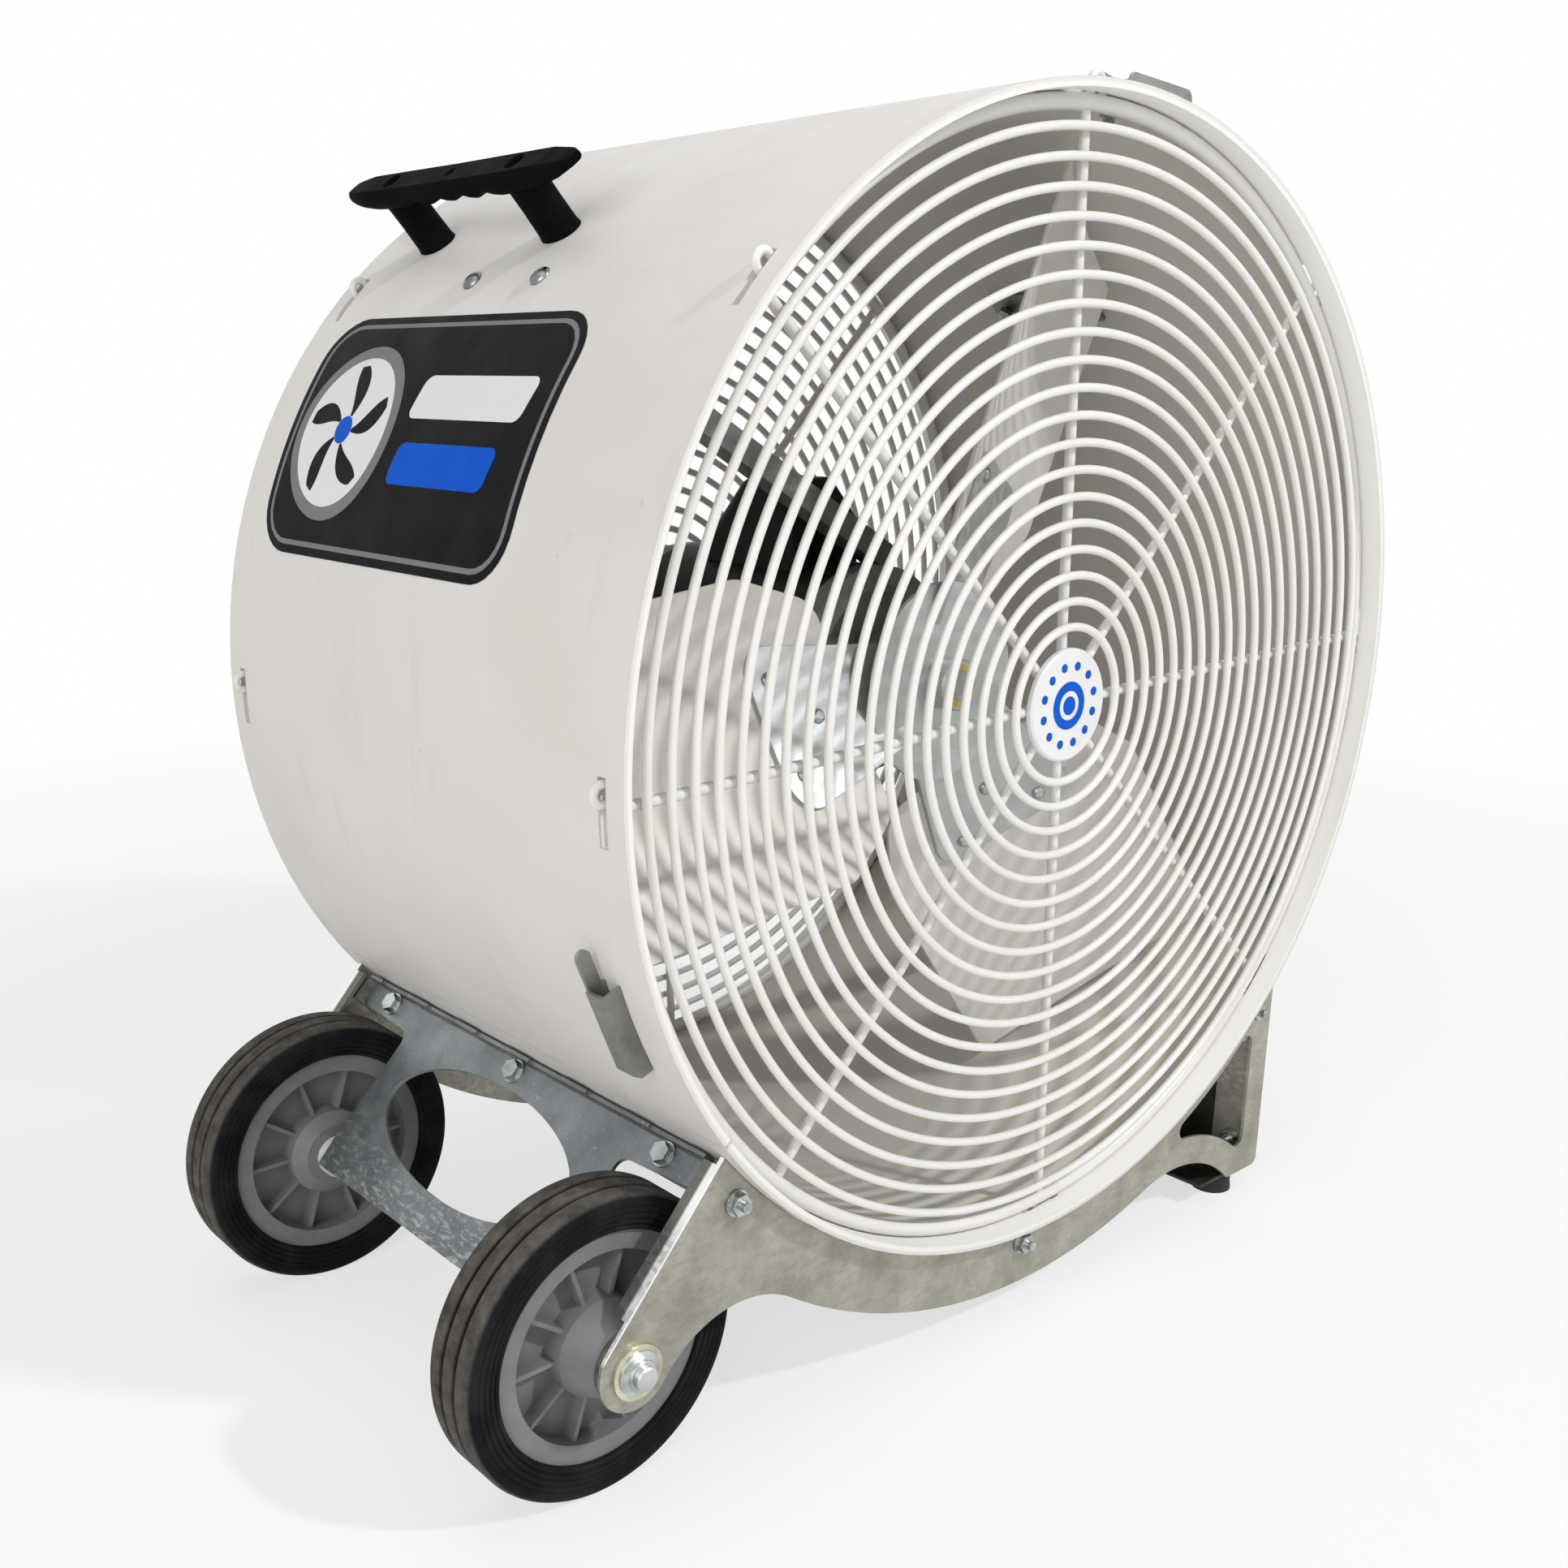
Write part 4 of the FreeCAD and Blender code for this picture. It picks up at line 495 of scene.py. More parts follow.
def make_guard(name, node, side, ring_steps, sides):
    """Circles of wire at equal pitch, with fewer steps on the smaller ones, over straight spokes."""
    wires = Shell()
    ring_y = side * (HALF_DEPTH - GUARD_RECESS)
    spoke_y = ring_y - side * (RING_WIRE + SPOKE_WIRE)
    rim = INNER_RADIUS - RIM_GAP - RIM_WIRE
    wires.wire(around(rim, np.linspace(0, 360, ring_steps, endpoint=False), spoke_y), RIM_WIRE, sides, True)
    for radius in np.arange(RING_FIRST, RING_LAST, -RING_PITCH):
        steps = max(RING_LEAST_STEPS, int(ring_steps * math.sqrt(radius / RING_FIRST)))
        ring = around(radius, np.linspace(0, 360, steps, endpoint=False), ring_y)
        wires.wire(ring, RING_WIRE, sides, True)
    for angle in 90 + np.arange(SPOKE_COUNT) * 360.0 / SPOKE_COUNT:
        line = np.linspace(SPOKE_START, rim - RIM_WIRE + SPOKE_SINK, SPOKE_STEPS)
        wires.wire(around(line, angle + SPOKE_TURN, spoke_y), SPOKE_WIRE, sides)
        wires.wire(hook_path(angle, spoke_y), HOOK_WIRE, sides)
    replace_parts(wires.build(name, guard_white, "frame", WIRE_CREASE), node)


guard_white = cloudy_finish(
    "guard_white_coating", GUARD_SURFACE, GUARD_COLOURS, GUARD_DULL, GUARD_SHEEN, GUARD_GRAIN
)
make_guard("front_guard_wires", "front_guard", -1, *FRONT_STEPS)
make_guard("rear_guard_wires", "rear_guard", 1, *REAR_STEPS)


# Guard discs: moulded white plastic caps over the hole in the middle of each guard, clipped to the spokes.
# The front one carries a plain printed motif of blue dots and rings.

DISC_COLOURS = ((0.82, 0.82, 0.82), (0.70, 0.70, 0.69))
DISC_SURFACE = (0.34, 0.0)
DISC_CLOUDS = (30.0, 5.0, 0.55, 0.40, 0.75, 0.60)
DISC_SHEEN = (70.0, 3.0, 0.28, 0.42)
DISC_GRAIN = (500.0, 2.0, 0.08, 0.0002)
DISC_FACE = 193.1
DOT_COUNT = 12
DOT_PLACE = 23.0
DOT_RADIUS = 2.6
MOTIF_SIDES = 48
MOTIF_STEPS = 4


def on_disc(s, t, lift):
    """A point of the front disc's face, s to the right and t up."""
    return np.stack(np.broadcast_arrays(s, -DISC_FACE - lift, t), axis=-1)


def stick_disc(name, s, t, radius, layer, material):
    """A round cut sheet on the front disc's face."""
    outline = ring_outline(s, t, radius, MOTIF_SIDES)
    cut_sheet(on_disc, outline, (s, t), layer, name, material, MOTIF_STEPS)


disc_white = cloudy_finish(
    "disc_white_plastic", DISC_SURFACE, DISC_COLOURS, DISC_CLOUDS, DISC_SHEEN, DISC_GRAIN, EDGE_PLASTIC
)
dress(disc_white, "front_guard_disc", "rear_guard_disc")
for i in range(DOT_COUNT):
    dot = math.radians((i + 0.5) * 360.0 / DOT_COUNT)
    place = (DOT_PLACE * math.cos(dot), DOT_PLACE * math.sin(dot))
    stick_disc(f"disc_dot_{i + 1}", *place, DOT_RADIUS, 0, vinyl_blue)
MOTIF = (
    ("disc_motif_ring", 14.0, vinyl_blue),
    ("disc_motif_gap", 8.5, disc_white),
    ("disc_motif_middle", 5.5, vinyl_blue),
)
for layer, (name, radius, material) in enumerate(MOTIF):
    stick_disc(name, 0.0, 0.0, radius, layer, material)


# End plates: galvanised sheet cut to an arch under each end of the drum, with a folded lip on the wheel
# side, bolted to folded clips that hook on the drum. The zinc is dull, warm grey and faintly streaked.

PLATE_COLOURS = ((0.26, 0.252, 0.205), (0.46, 0.45, 0.385))
PLATE_ROUGH = 0.48
PLATE_CLOUDS = (38.0, 8.0, 0.66, 0.34, 0.68, 1.0)
PLATE_STREAKS = (1.0, 6.0, 0.65, 0.50, 0.72, 0.55)
PLATE_LAYERS = (PLATE_CLOUDS, 0.30, PLATE_STREAKS, (90.0, 60.0, 420.0))
PLATE_SPANGLE = 420.0
PLATE_SHEEN = (0.40, 0.58)
PLATE_END_RADIUS = 330.3
PLATE_END_ANGLE = -142.0
ARM_DIRECTION = -131.74
FOLD_PAINTED_HIGHLIGHT = (0.95, 0.95, 0.94)
FOLD_DEPTHS = (0.1855, 0.1872)
LIP_PAINTED_SHADE = (0.17, 0.17, 0.16)
LIP_FACE = (0.0010, 0.0004)
CLIP_COLOURS = ((0.20, 0.20, 0.19), (0.36, 0.36, 0.34))
CLIP_ROUGH = 0.46
CLIP_SPANGLE = 240.0
BOLT_COLOURS = ((0.30, 0.32, 0.32), (0.66, 0.68, 0.67))
BOLT_ROUGH = 0.26
ZINC_METAL = 0.7
ZINC_CLOUDS = (16.0, 7.0, 0.60, 0.32, 0.70, 1.0)
ZINC_STREAKS = (1.0, 5.0, 0.60, 0.52, 0.74, 0.40)
ZINC_LAYERS = (ZINC_CLOUDS, 0.35, ZINC_STREAKS, (60.0, 60.0, 260.0))
ZINC_SPANGLE_STRETCH = (1.0, 0.6, 1.0)
ZINC_FLECK = (0.62, 0.64, 0.64)
ZINC_FLECK_SCALE = 260.0
ZINC_FLECK_SIZE = 0.22
SMOOTHER = 0.08
ROUGHER = 0.10
ZINC_RELIEF = (120.0, 5.0, 0.10, 0.0005)
PLATED_CLOUDS = (5.0, 0.55, 0.35, 0.70, 1.0)
PLATED_SHEEN_DETAIL = 3.0
PLATED_SMOOTHER = 0.06
PLATED_RELIEF = (400.0, 3.0, 0.10, 0.0003)
EDGE_SHEET = 0.0006


def zinc_layers(f, dark, light, spangle, clouds, share, streaks, stretch):
    """Zinc's colour in cloudy patches, with a share of crystal spangle and drawn streaks; and the spangle."""
    base = f.mix(f.patches(clouds), dark, light)
    grains = f.crystals(spangle, f.stretched(ZINC_SPANGLE_STRETCH))
    base = f.mix(f.ramp(grains, 0.0, 1.0, 0.0, share), base, light)
    return f.mix(f.patches(streaks, f.stretched(stretch)), base, dark), grains


def zinc_finish(name, dark, light, rough, spangle, fleck=0.0):
    """Zinc on sheet steel, its spangle differing in roughness, with or without pale flecks."""
    f = Finish(name, rough, ZINC_METAL)
    base, grains = zinc_layers(f, dark, light, spangle, *ZINC_LAYERS)
    if fleck:
        base = f.mix(f.flecks(ZINC_FLECK_SCALE, ZINC_FLECK_SIZE, fleck), base, ZINC_FLECK)
    f.colour(base)
    f.roughness(grains, rough - SMOOTHER, rough + ROUGHER)
    f.relief(ZINC_RELIEF, EDGE_SHEET)
    return f.material


def plated_finish(name, dark, light, rough, scale=80.0):
    """Bright plating on small steel parts, cloudy at the scale of a bolt head."""
    clouds = (scale, *PLATED_CLOUDS)
    sheen = (scale * 2.0, PLATED_SHEEN_DETAIL, rough - PLATED_SMOOTHER, rough + ROUGHER)
    return cloudy_finish(name, (rough, 1.0), (dark, light), clouds, sheen, PLATED_RELIEF, EDGE_SHEET)


def plate_finish():
    """Dull zinc with drawn streaks; on the arm's lip a painted highlight along the fold and painted shade
    behind it.
    """
    f = Finish("plate_zinc", PLATE_ROUGH, ZINC_METAL)
    base, grains = zinc_layers(f, *PLATE_COLOURS, PLATE_SPANGLE, *PLATE_LAYERS)
    corner = around(PLATE_END_RADIUS, PLATE_END_ANGLE, 0.0) + AXIS_PLACE
    inwards = around(1.0, ARM_DIRECTION + 90, 0.0)
    face = f.ramp(f.beyond(tuple(corner / 1000.0), tuple(inwards)), *LIP_FACE)
    # On the lip's face: a painted highlight along the fold, painted shade over the rest.
    lip = f.mix(f.ramp(f.depth(), *FOLD_DEPTHS), LIP_PAINTED_SHADE, FOLD_PAINTED_HIGHLIGHT)
    f.colour(f.mix(face, base, lip))
    f.roughness(grains, *PLATE_SHEEN)
    f.relief(ZINC_RELIEF, EDGE_SHEET)
    return f.material


bolt_zinc = plated_finish("bolt_zinc", *BOLT_COLOURS, BOLT_ROUGH)
clip_zinc = zinc_finish("clip_zinc", *CLIP_COLOURS, CLIP_ROUGH, CLIP_SPANGLE)
dress(plate_finish(), "front_plate", "rear_plate")
dress(clip_zinc, "front_plate_clips", "rear_plate_clips")
dress(bolt_zinc, "front_plate_bolts", "rear_plate_bolts")


# Wheel side: a galvanised panel with a big oval and a folded lip, bolted to a notched angle rail under the
# drum. The zinc is blue-grey, darkened with painted shade, full of pale flecks, and the lip is scraped
# bright.

PANEL_ZINC_AND_SHADE_COLOURS = ((0.140, 0.155, 0.162), (0.285, 0.308, 0.316))
PANEL_SCRAPE = (0.62, 0.63, 0.62)
PANEL_ROUGH = 0.42
PANEL_CLOUDS = (22.0, 7.0, 0.62, 0.30, 0.72, 1.0)
PANEL_FLECKS = (420.0, 4.0, 0.70, 0.60, 0.72, 0.45)
PANEL_RUBS = (1.0, 7.0, 0.72, 0.50, 0.62, 0.80)
PANEL_RUB_STRETCH = (330.0, 120.0, 330.0)
PANEL_SCRAPE_HEIGHTS = (0.128, 0.085)
PANEL_SHEEN = (60.0, 5.0, 0.34, 0.54)
PANEL_RELIEF = (140.0, 5.0, 0.12, 0.0005)
RAIL_COLOURS = ((0.13, 0.135, 0.135), (0.27, 0.28, 0.28))
RAIL_ROUGH = 0.44
RAIL_SPANGLE = 200.0
RAIL_FLECK = 0.4


def panel_finish():
    """Cloudy blue-grey zinc, partly painted shade, with fine flecks, rubbed bright in streaks towards its
    lower lip.
    """
    f = Finish("panel_blue_zinc_and_shade", PANEL_ROUGH, ZINC_METAL)
    # Blue-grey zinc colours, made darker than the zinc as painted shade.
    base = f.mix(f.patches(PANEL_CLOUDS), *PANEL_ZINC_AND_SHADE_COLOURS)
    base = f.mix(f.patches(PANEL_FLECKS), base, PANEL_SCRAPE)
    rubbed = f.patches(PANEL_RUBS, f.stretched(PANEL_RUB_STRETCH))
    f.colour(f.mix(f.product(f.ramp(f.height(), *PANEL_SCRAPE_HEIGHTS), rubbed), base, PANEL_SCRAPE))
    f.sheen(PANEL_SHEEN)
    f.relief(PANEL_RELIEF, EDGE_SHEET)
    return f.material


dress(panel_finish(), "left_panel")
dress(zinc_finish("rail_zinc", *RAIL_COLOURS, RAIL_ROUGH, RAIL_SPANGLE, RAIL_FLECK), "panel_rail")
dress(bolt_zinc, "panel_bolts")


# Foot side: a galvanised panel behind the plates' windows, bolted between the two plates, coloured near black
# as painted shade.
# Two moulded rubber feet are screwed under it and carry this side of the fan.

INNER_PAINTED_SHADE_COLOURS = ((0.022, 0.020, 0.017), (0.052, 0.049, 0.042))
INNER_ROUGH = 0.5
INNER_SPANGLE = 200.0
FOOT_COLOURS = ((0.020, 0.020, 0.020), (0.065, 0.063, 0.060))
FOOT_ROUGH = 0.66
MOULD_CLOUDS = (7.0, 0.60, 0.42, 0.76)
MOULD_SHEEN_DETAIL = 4.0
MOULD_RELIEF = (3.0, 0.18, 0.0004)


def moulded_finish(name, base, worn, rough, grain=450.0, clouds=30.0, share=0.6, gloss=0.3):
    """Moulded plastic or rubber: a fine grain with a cloudy bloom of dust."""
    bloom = (clouds, *MOULD_CLOUDS, share)
    sheen = (clouds * 2.0, MOULD_SHEEN_DETAIL, rough - SMOOTHER, rough + ROUGHER)
    relief = (grain, *MOULD_RELIEF)
    return cloudy_finish(name, (rough, 0.0, gloss), (base, worn), bloom, sheen, relief, EDGE_PLASTIC)


# The panel's near-black colour is painted shade inside the fan, not the zinc's own colour.
dress(zinc_finish("foot_panel_zinc_painted_shade", *INNER_PAINTED_SHADE_COLOURS, INNER_ROUGH, INNER_SPANGLE), "right_panel")
dress(bolt_zinc, "right_panel_bolts")
dress(moulded_finish("foot_rubber", *FOOT_COLOURS, FOOT_ROUGH), "front_foot", "rear_foot")


# Axle: a half inch steel rod through both plates, with washers, a flanged nut at each end and white plastic
# bushes between plates and wheels. The rod's chamfered ends stand a little out of the nuts.

AXLE_COLOURS = ((0.50, 0.51, 0.50), (0.74, 0.75, 0.74))
AXLE_ROUGH = 0.30
WASHER_COLOURS = ((0.46, 0.44, 0.33), (0.76, 0.74, 0.60))
WASHER_ROUGH = 0.30
WASHER_CLOUDS = 60.0
BUSH_COLOURS = ((0.72, 0.72, 0.70), (0.56, 0.55, 0.52))
BUSH_ROUGH = 0.45
AXLE_PLACE = np.mean(np.array(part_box("front_tyre")), axis=0) * 1000.0 - FAN_AXIS
AXLE_LINE = np.array([AXLE_PLACE[0], 0.0, AXLE_PLACE[2]])
AXLE_END = [(5.7, -202.3), (6.7, -201.3), (6.7, -196.0), (6.2, -195.4)]
NUT_SEAT = 194.0
NUT_FLANGE = [(6.4, 0.0), (12.4, 0.0), (12.4, 0.9), (11.6, 1.5), (10.0, 2.6), (9.4, 3.2), (7.2, 3.3)]
NUT_COLLAR = [(8.7, 2.8), (8.7, 4.2), (8.2, 4.7), (7.2, 4.8)]
AXLE_STEPS = 40
TURNED_CREASE = 30.0


def mirrored(half):
    """A profile of (radius, depth) and its mirror image about the middle, end to end."""
    half = np.array(half)
    return np.vstack([half, half[::-1] * np.array([1.0, -1.0])])


axle_steel = plated_finish("axle_steel", *AXLE_COLOURS, AXLE_ROUGH)
dress(plated_finish("washer_yellow_zinc", *WASHER_COLOURS, WASHER_ROUGH, WASHER_CLOUDS), "axle_washers")
dress(moulded_finish("bush_white_plastic", *BUSH_COLOURS, BUSH_ROUGH), "front_axle_bush", "rear_axle_bush")
axle_rod = Shell()
axle_rod.lathe(mirrored(AXLE_END), AXLE_LINE, AXIS_DIRECTION, AXLE_STEPS)
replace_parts(axle_rod.build("axle_rod", axle_steel, "frame", TURNED_CREASE), "axle")
axle_nuts = Shell()
for side in (-1.0, 1.0):
    outwards = side * AXIS_DIRECTION
    for profile in (NUT_FLANGE, NUT_COLLAR):
        axle_nuts.lathe(profile, AXLE_LINE + outwards * NUT_SEAT, outwards, AXLE_STEPS)
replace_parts(axle_nuts.build("axle_flange_nuts", bolt_zinc, "frame", TURNED_CREASE), "axle_nut")


# Wheels: a solid black rubber tyre, moulded with three tread ribs and fine ridges round its sides, pressed
# on a ribbed grey plastic hub. The tread has picked up brown dust; the sides are still nearly black.

TYRE_COLOURS = ((0.009, 0.009, 0.011), (0.028, 0.027, 0.027))
TYRE_ROUGH = 0.66
TYRE_GLOSS = 0.06
TYRE_CLOUDS = (40.0, 6.0, 0.55, 0.42, 0.75, 0.80)
TYRE_SHEEN = (70.0, 4.0, 0.56, 0.80)
TYRE_GRAIN = (330.0, 5.0, 0.25, 0.0005)
TREAD_COLOURS = ((0.050, 0.047, 0.043), (0.125, 0.116, 0.102))
TREAD_CLOUDS = (90.0, 7.0, 0.68, 0.34, 0.66, 1.0)
TREAD_RADII = (0.0836, 0.0853)
HUB_COLOURS = ((0.190, 0.191, 0.197), (0.275, 0.274, 0.272))
HUB_ROUGH = 0.44
HUB_GRAIN = 500.0
HUB_CLOUDS = 45.0
WHEEL_MIDDLE = 148.5
TYRE_SEAT = [(65.6, -15.6), (65.9, -17.2), (66.9, -17.9), (68.2, -17.9), (68.6, -17.3), (69.2, -17.3)]
TYRE_SIDE = [(69.7, -18.3), (71.4, -18.6), (71.8, -18.0), (72.4, -18.0), (72.9, -18.8), (74.8, -18.9)]
TYRE_SIDE += [(75.2, -18.3), (75.8, -18.3), (76.3, -18.95), (78.2, -18.95), (78.6, -18.4), (79.2, -18.4)]
TYRE_SIDE += [(79.7, -18.9), (82.0, -18.7), (83.6, -18.0), (84.8, -17.0)]
TYRE_TREAD = [(85.6, -15.6), (86.0, -13.8), (86.0, -7.7), (85.7, -7.4), (83.4, -7.1), (83.2, -6.8)]
TYRE_TREAD += [(83.2, -4.9), (83.4, -4.6), (85.7, -4.3), (86.0, -4.0), (86.0, -1.5)]
TYRE_STEPS = 160
TYRE_CREASE = 32.0


def tyre_finish():
    """Black rubber, with dust on the tread beyond a radius from the axle."""
    f = Finish("tyre_black_rubber", TYRE_ROUGH, 0.0, TYRE_GLOSS)
    axle = tuple((AXLE_PLACE + FAN_AXIS) / 1000.0)
    black = f.mix(f.patches(TYRE_CLOUDS), *TYRE_COLOURS)
    dust = f.mix(f.patches(TREAD_CLOUDS), *TREAD_COLOURS)
    f.colour(f.mix(f.ramp(f.reach(axle), *TREAD_RADII), black, dust))
    f.sheen(TYRE_SHEEN)
    f.relief(TYRE_GRAIN)
    return f.material


def make_tyre(name, node, body, side):
    """A closed profile of (radius, depth), mirrored about the wheel's middle, turned about the axle."""
    profile = mirrored(TYRE_SEAT + TYRE_SIDE + TYRE_TREAD)
    turn = np.linspace(0, 360, TYRE_STEPS, endpoint=False)[:, None]
    place = AXLE_LINE + side * WHEEL_MIDDLE * AXIS_DIRECTION
    tyre = Shell()
    tyre.grid(around(profile[None, :, 0], turn, profile[None, :, 1]) + place, True, True)
    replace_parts(tyre.build(name, tyre_rubber, body, TYRE_CREASE), node)


tyre_rubber = tyre_finish()
make_tyre("front_tyre_rubber", "front_tyre", "front_wheel", -1)
make_tyre("rear_tyre_rubber", "rear_tyre", "rear_wheel", 1)
hub_plastic = moulded_finish("hub_grey_plastic", *HUB_COLOURS, HUB_ROUGH, HUB_GRAIN, HUB_CLOUDS)
dress(hub_plastic, "front_wheel_hub", "rear_wheel_hub")


# Handle: a black glass-filled plastic grip with a flat top, wedge tips and finger hollows underneath, on two
# oval posts. Two screws go down through wells in the top, through the posts and the drum's wall.

HANDLE_COLOURS = ((0.004, 0.004, 0.005), (0.013, 0.013, 0.014))
HANDLE_ROUGH = 0.56
HANDLE_GRAIN = 650.0
HANDLE_CLOUDS = 40.0
HANDLE_SHARE = 0.5
HANDLE_GLOSS = 0.012
HANDLE_ANGLE = 128.5
HANDLE_Y = 74.5
HANDLE_HALF = 114.8
HANDLE_CREASE = 42.0
GRIP_SHIFT = 2.2
GRIP_WIDTH = ((0.0, 10.9), (0.55, 11.2), (0.82, 10.4), (0.95, 8.4), (1.0, 5.4))
GRIP_TOP = ((0.0, 374.0), (0.58, 374.2), (0.80, 374.6), (0.96, 373.6), (1.0, 372.6))
GRIP_LOW = ((0.0, 360.4), (0.45, 360.0), (0.72, 361.2), (0.90, 364.8), (1.0, 368.0))
GRIP_FLAT = 0.74
GRIP_FLAT_STEPS = 31
GRIP_SIDE = [(0.93, 0.66), (1.0, 0.34), (1.0, -0.2), (0.92, -0.62), (0.68, -0.92), (0.3, -1.0), (0.0, -1.0)]
GRIP_STEPS = 121
TIP_NARROW = 3.0
TIP_POWER = 12
POST_PLACE = 64.0
POST_LONG = 14.0
POST_WIDE = 10.4
POST_TOP = 366.0
POST_FLARE = ((0.0, 1.05), (0.08, 1.0), (0.5, 0.97), (0.85, 0.98), (1.0, 1.02))
POST_GAP = 0.1
POST_SIDES = 40
POST_STEPS = 13
FINGER_HALF = 48.0
FINGER_STEP = 24.0
FINGER_DEPTH = 1.4
WELL_RADIUS = 5.2
WELL_DEPTH = 5.5
WELL_EDGE = 0.8
WELL_SPAN = 7.0
WELL_STEP = 0.7
PIP_RADIUS = 3.0
PIP_DEPTH = 1.6
SCREW_COLOURS = ((0.035, 0.035, 0.036), (0.10, 0.10, 0.10))
SCREW_ROUGH = 0.40
SCREW_LEVEL = 373.0
SCREW_HEAD = [(4.3, -1.0), (4.3, 1.6), (3.8, 2.2), (2.3, 2.2), (2.1, 1.0), (0.4, 0.9)]
SCREW_STEPS = 24


def handle_point(across, y, out):
    """Handle coordinates: across the grip, along the drum from the grip's middle, out from the fan's axis."""
    a, d, o = np.broadcast_arrays(across, y, out)
    unit = around(1.0, HANDLE_ANGLE, 0.0)
    tangent = around(1.0, HANDLE_ANGLE + 90, 0.0)
    return o[..., None] * unit + a[..., None] * tangent + (d + HANDLE_Y)[..., None] * AXIS_DIRECTION


def graded(share, table):
    """Straight lines between the pairs of a table."""
    return np.interp(share, *np.transpose(table))


def well(across, y, place, radius, depth):
    """Depth of a round sink: full inside the radius, none a short way outside it."""
    return depth * np.clip(radius + WELL_EDGE - np.hypot(across, y - place), 0.0, WELL_EDGE) / WELL_EDGE


def make_grip(handle):
    """A flat-topped section whose width and height change along the grip, with wells sunk in its top."""
    fine = np.arange(-WELL_SPAN, WELL_SPAN + 0.01, WELL_STEP)
    coarse = np.linspace(-HANDLE_HALF, HANDLE_HALF, GRIP_STEPS)
    y = np.concatenate([coarse, fine - POST_PLACE, fine, fine + POST_PLACE])
    y = np.unique(np.round(y, 2))
    reach = np.abs(y) / HANDLE_HALF
    half = graded(reach, GRIP_WIDTH) - TIP_NARROW * np.clip(y / HANDLE_HALF, 0.0, 1.0) ** TIP_POWER
    top = graded(reach, GRIP_TOP)
    hollow = FINGER_DEPTH * (1 - np.cos(2 * math.pi * y / FINGER_STEP))
    low = graded(reach, GRIP_LOW) + np.where(np.abs(y) < FINGER_HALF, hollow, 0.0)
    flat = np.linspace(-GRIP_FLAT, GRIP_FLAT, GRIP_FLAT_STEPS)
    side = np.array(GRIP_SIDE)
    other_side = side[-2::-1] * np.array([-1.0, 1.0])
    u, w = np.vstack([np.stack([flat, 0 * flat + 1.0], axis=1), side, other_side]).T
    across = half[:, None] * u
    out = (top + low)[:, None] / 2 + (top - low)[:, None] / 2 * w
    sink = well(across, y[:, None], POST_PLACE, WELL_RADIUS, WELL_DEPTH)
    sink = sink + well(across, y[:, None], -POST_PLACE, WELL_RADIUS, WELL_DEPTH)
    sink = sink + well(across, y[:, None], 0.0, PIP_RADIUS, PIP_DEPTH)
    out = out - np.where(w == 1.0, sink, 0.0)
    handle.loft(handle_point(across + GRIP_SHIFT, y[:, None], out))


def make_post(handle, place):
    """An oval carried up from the drum's wall with a slight lean, flared a little at its ends."""
    turn = np.linspace(0, 2 * math.pi, POST_SIDES, endpoint=False)[None, :]
    level = np.linspace(0, 1, POST_STEPS)[:, None]
    flare = graded(level, POST_FLARE)
    across = POST_WIDE * flare * np.cos(turn) + GRIP_SHIFT * level
    along = place + POST_LONG * flare * np.sin(turn)
    foot = np.sqrt((DRUM_RADIUS + POST_GAP) ** 2 - across**2)
    handle.loft(handle_point(across, along, foot + (POST_TOP - foot) * level))


handle_plastic = moulded_finish(
    "handle_black_plastic", *HANDLE_COLOURS, HANDLE_ROUGH,
    HANDLE_GRAIN, HANDLE_CLOUDS, HANDLE_SHARE, HANDLE_GLOSS,
)
screw_steel = plated_finish("screw_black_steel", *SCREW_COLOURS, SCREW_ROUGH)
handle = Shell()
screws = Shell()
make_grip(handle)
for place in (-POST_PLACE, POST_PLACE):
    make_post(handle, place)
    seat = handle_point(GRIP_SHIFT, place, SCREW_LEVEL - WELL_DEPTH)
    screws.lathe(SCREW_HEAD, seat, around(1.0, HANDLE_ANGLE, 0.0), SCREW_STEPS)
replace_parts(handle.build("handle_grip", handle_plastic, "frame", HANDLE_CREASE), "handle")
screws.build("handle_screws", screw_steel, "frame", TURNED_CREASE)


# Brackets: short galvanised channels with a round-ended ear, bolted through the wall round the front of the
# drum to take a hanging yoke. The top one has a taller front wall. Their hex nuts and stud ends show inside.

BRACKET_COLOURS = ((0.17, 0.17, 0.16), (0.33, 0.33, 0.315))
BRACKET_ROUGH = 0.44
BRACKET_SPANGLE = 260.0
BRACKET_Y = -170.5
BRACKET_BOLTS = (195.5, 84.2, -31.6)
BRACKET_BOLT_SINK = 0.2
BRACKET_BOLT_CREASE = 28.0
HEX_WASHER = [(7.6, 0.0), (7.6, 0.8), (6.6, 1.3), (0.6, 1.3)]
HEX_WASHER_STEPS = 28
HEX_NUT = [(6.0, 0.0), (6.0, 4.6), (5.4, 5.4), (0.6, 5.4)]
HEX_NUT_LIFT = 0.8
HEX_NUT_TURN = 0.4
HEX_SIDES = 6
STUD_END = [(3.2, 0.0), (3.2, 10.3), (2.6, 11.0), (0.3, 11.0)]
STUD_STEPS = 16
WALL_ENDS = (39.0, 96.6)
WALL_TOP = 340.8
WALL_SLOPE = 0.0837
WALL_CORNER = 5.0
WALL_FACES = (-178.3, -176.7)
WALL_GAP = 0.2
WALL_STEPS = 41


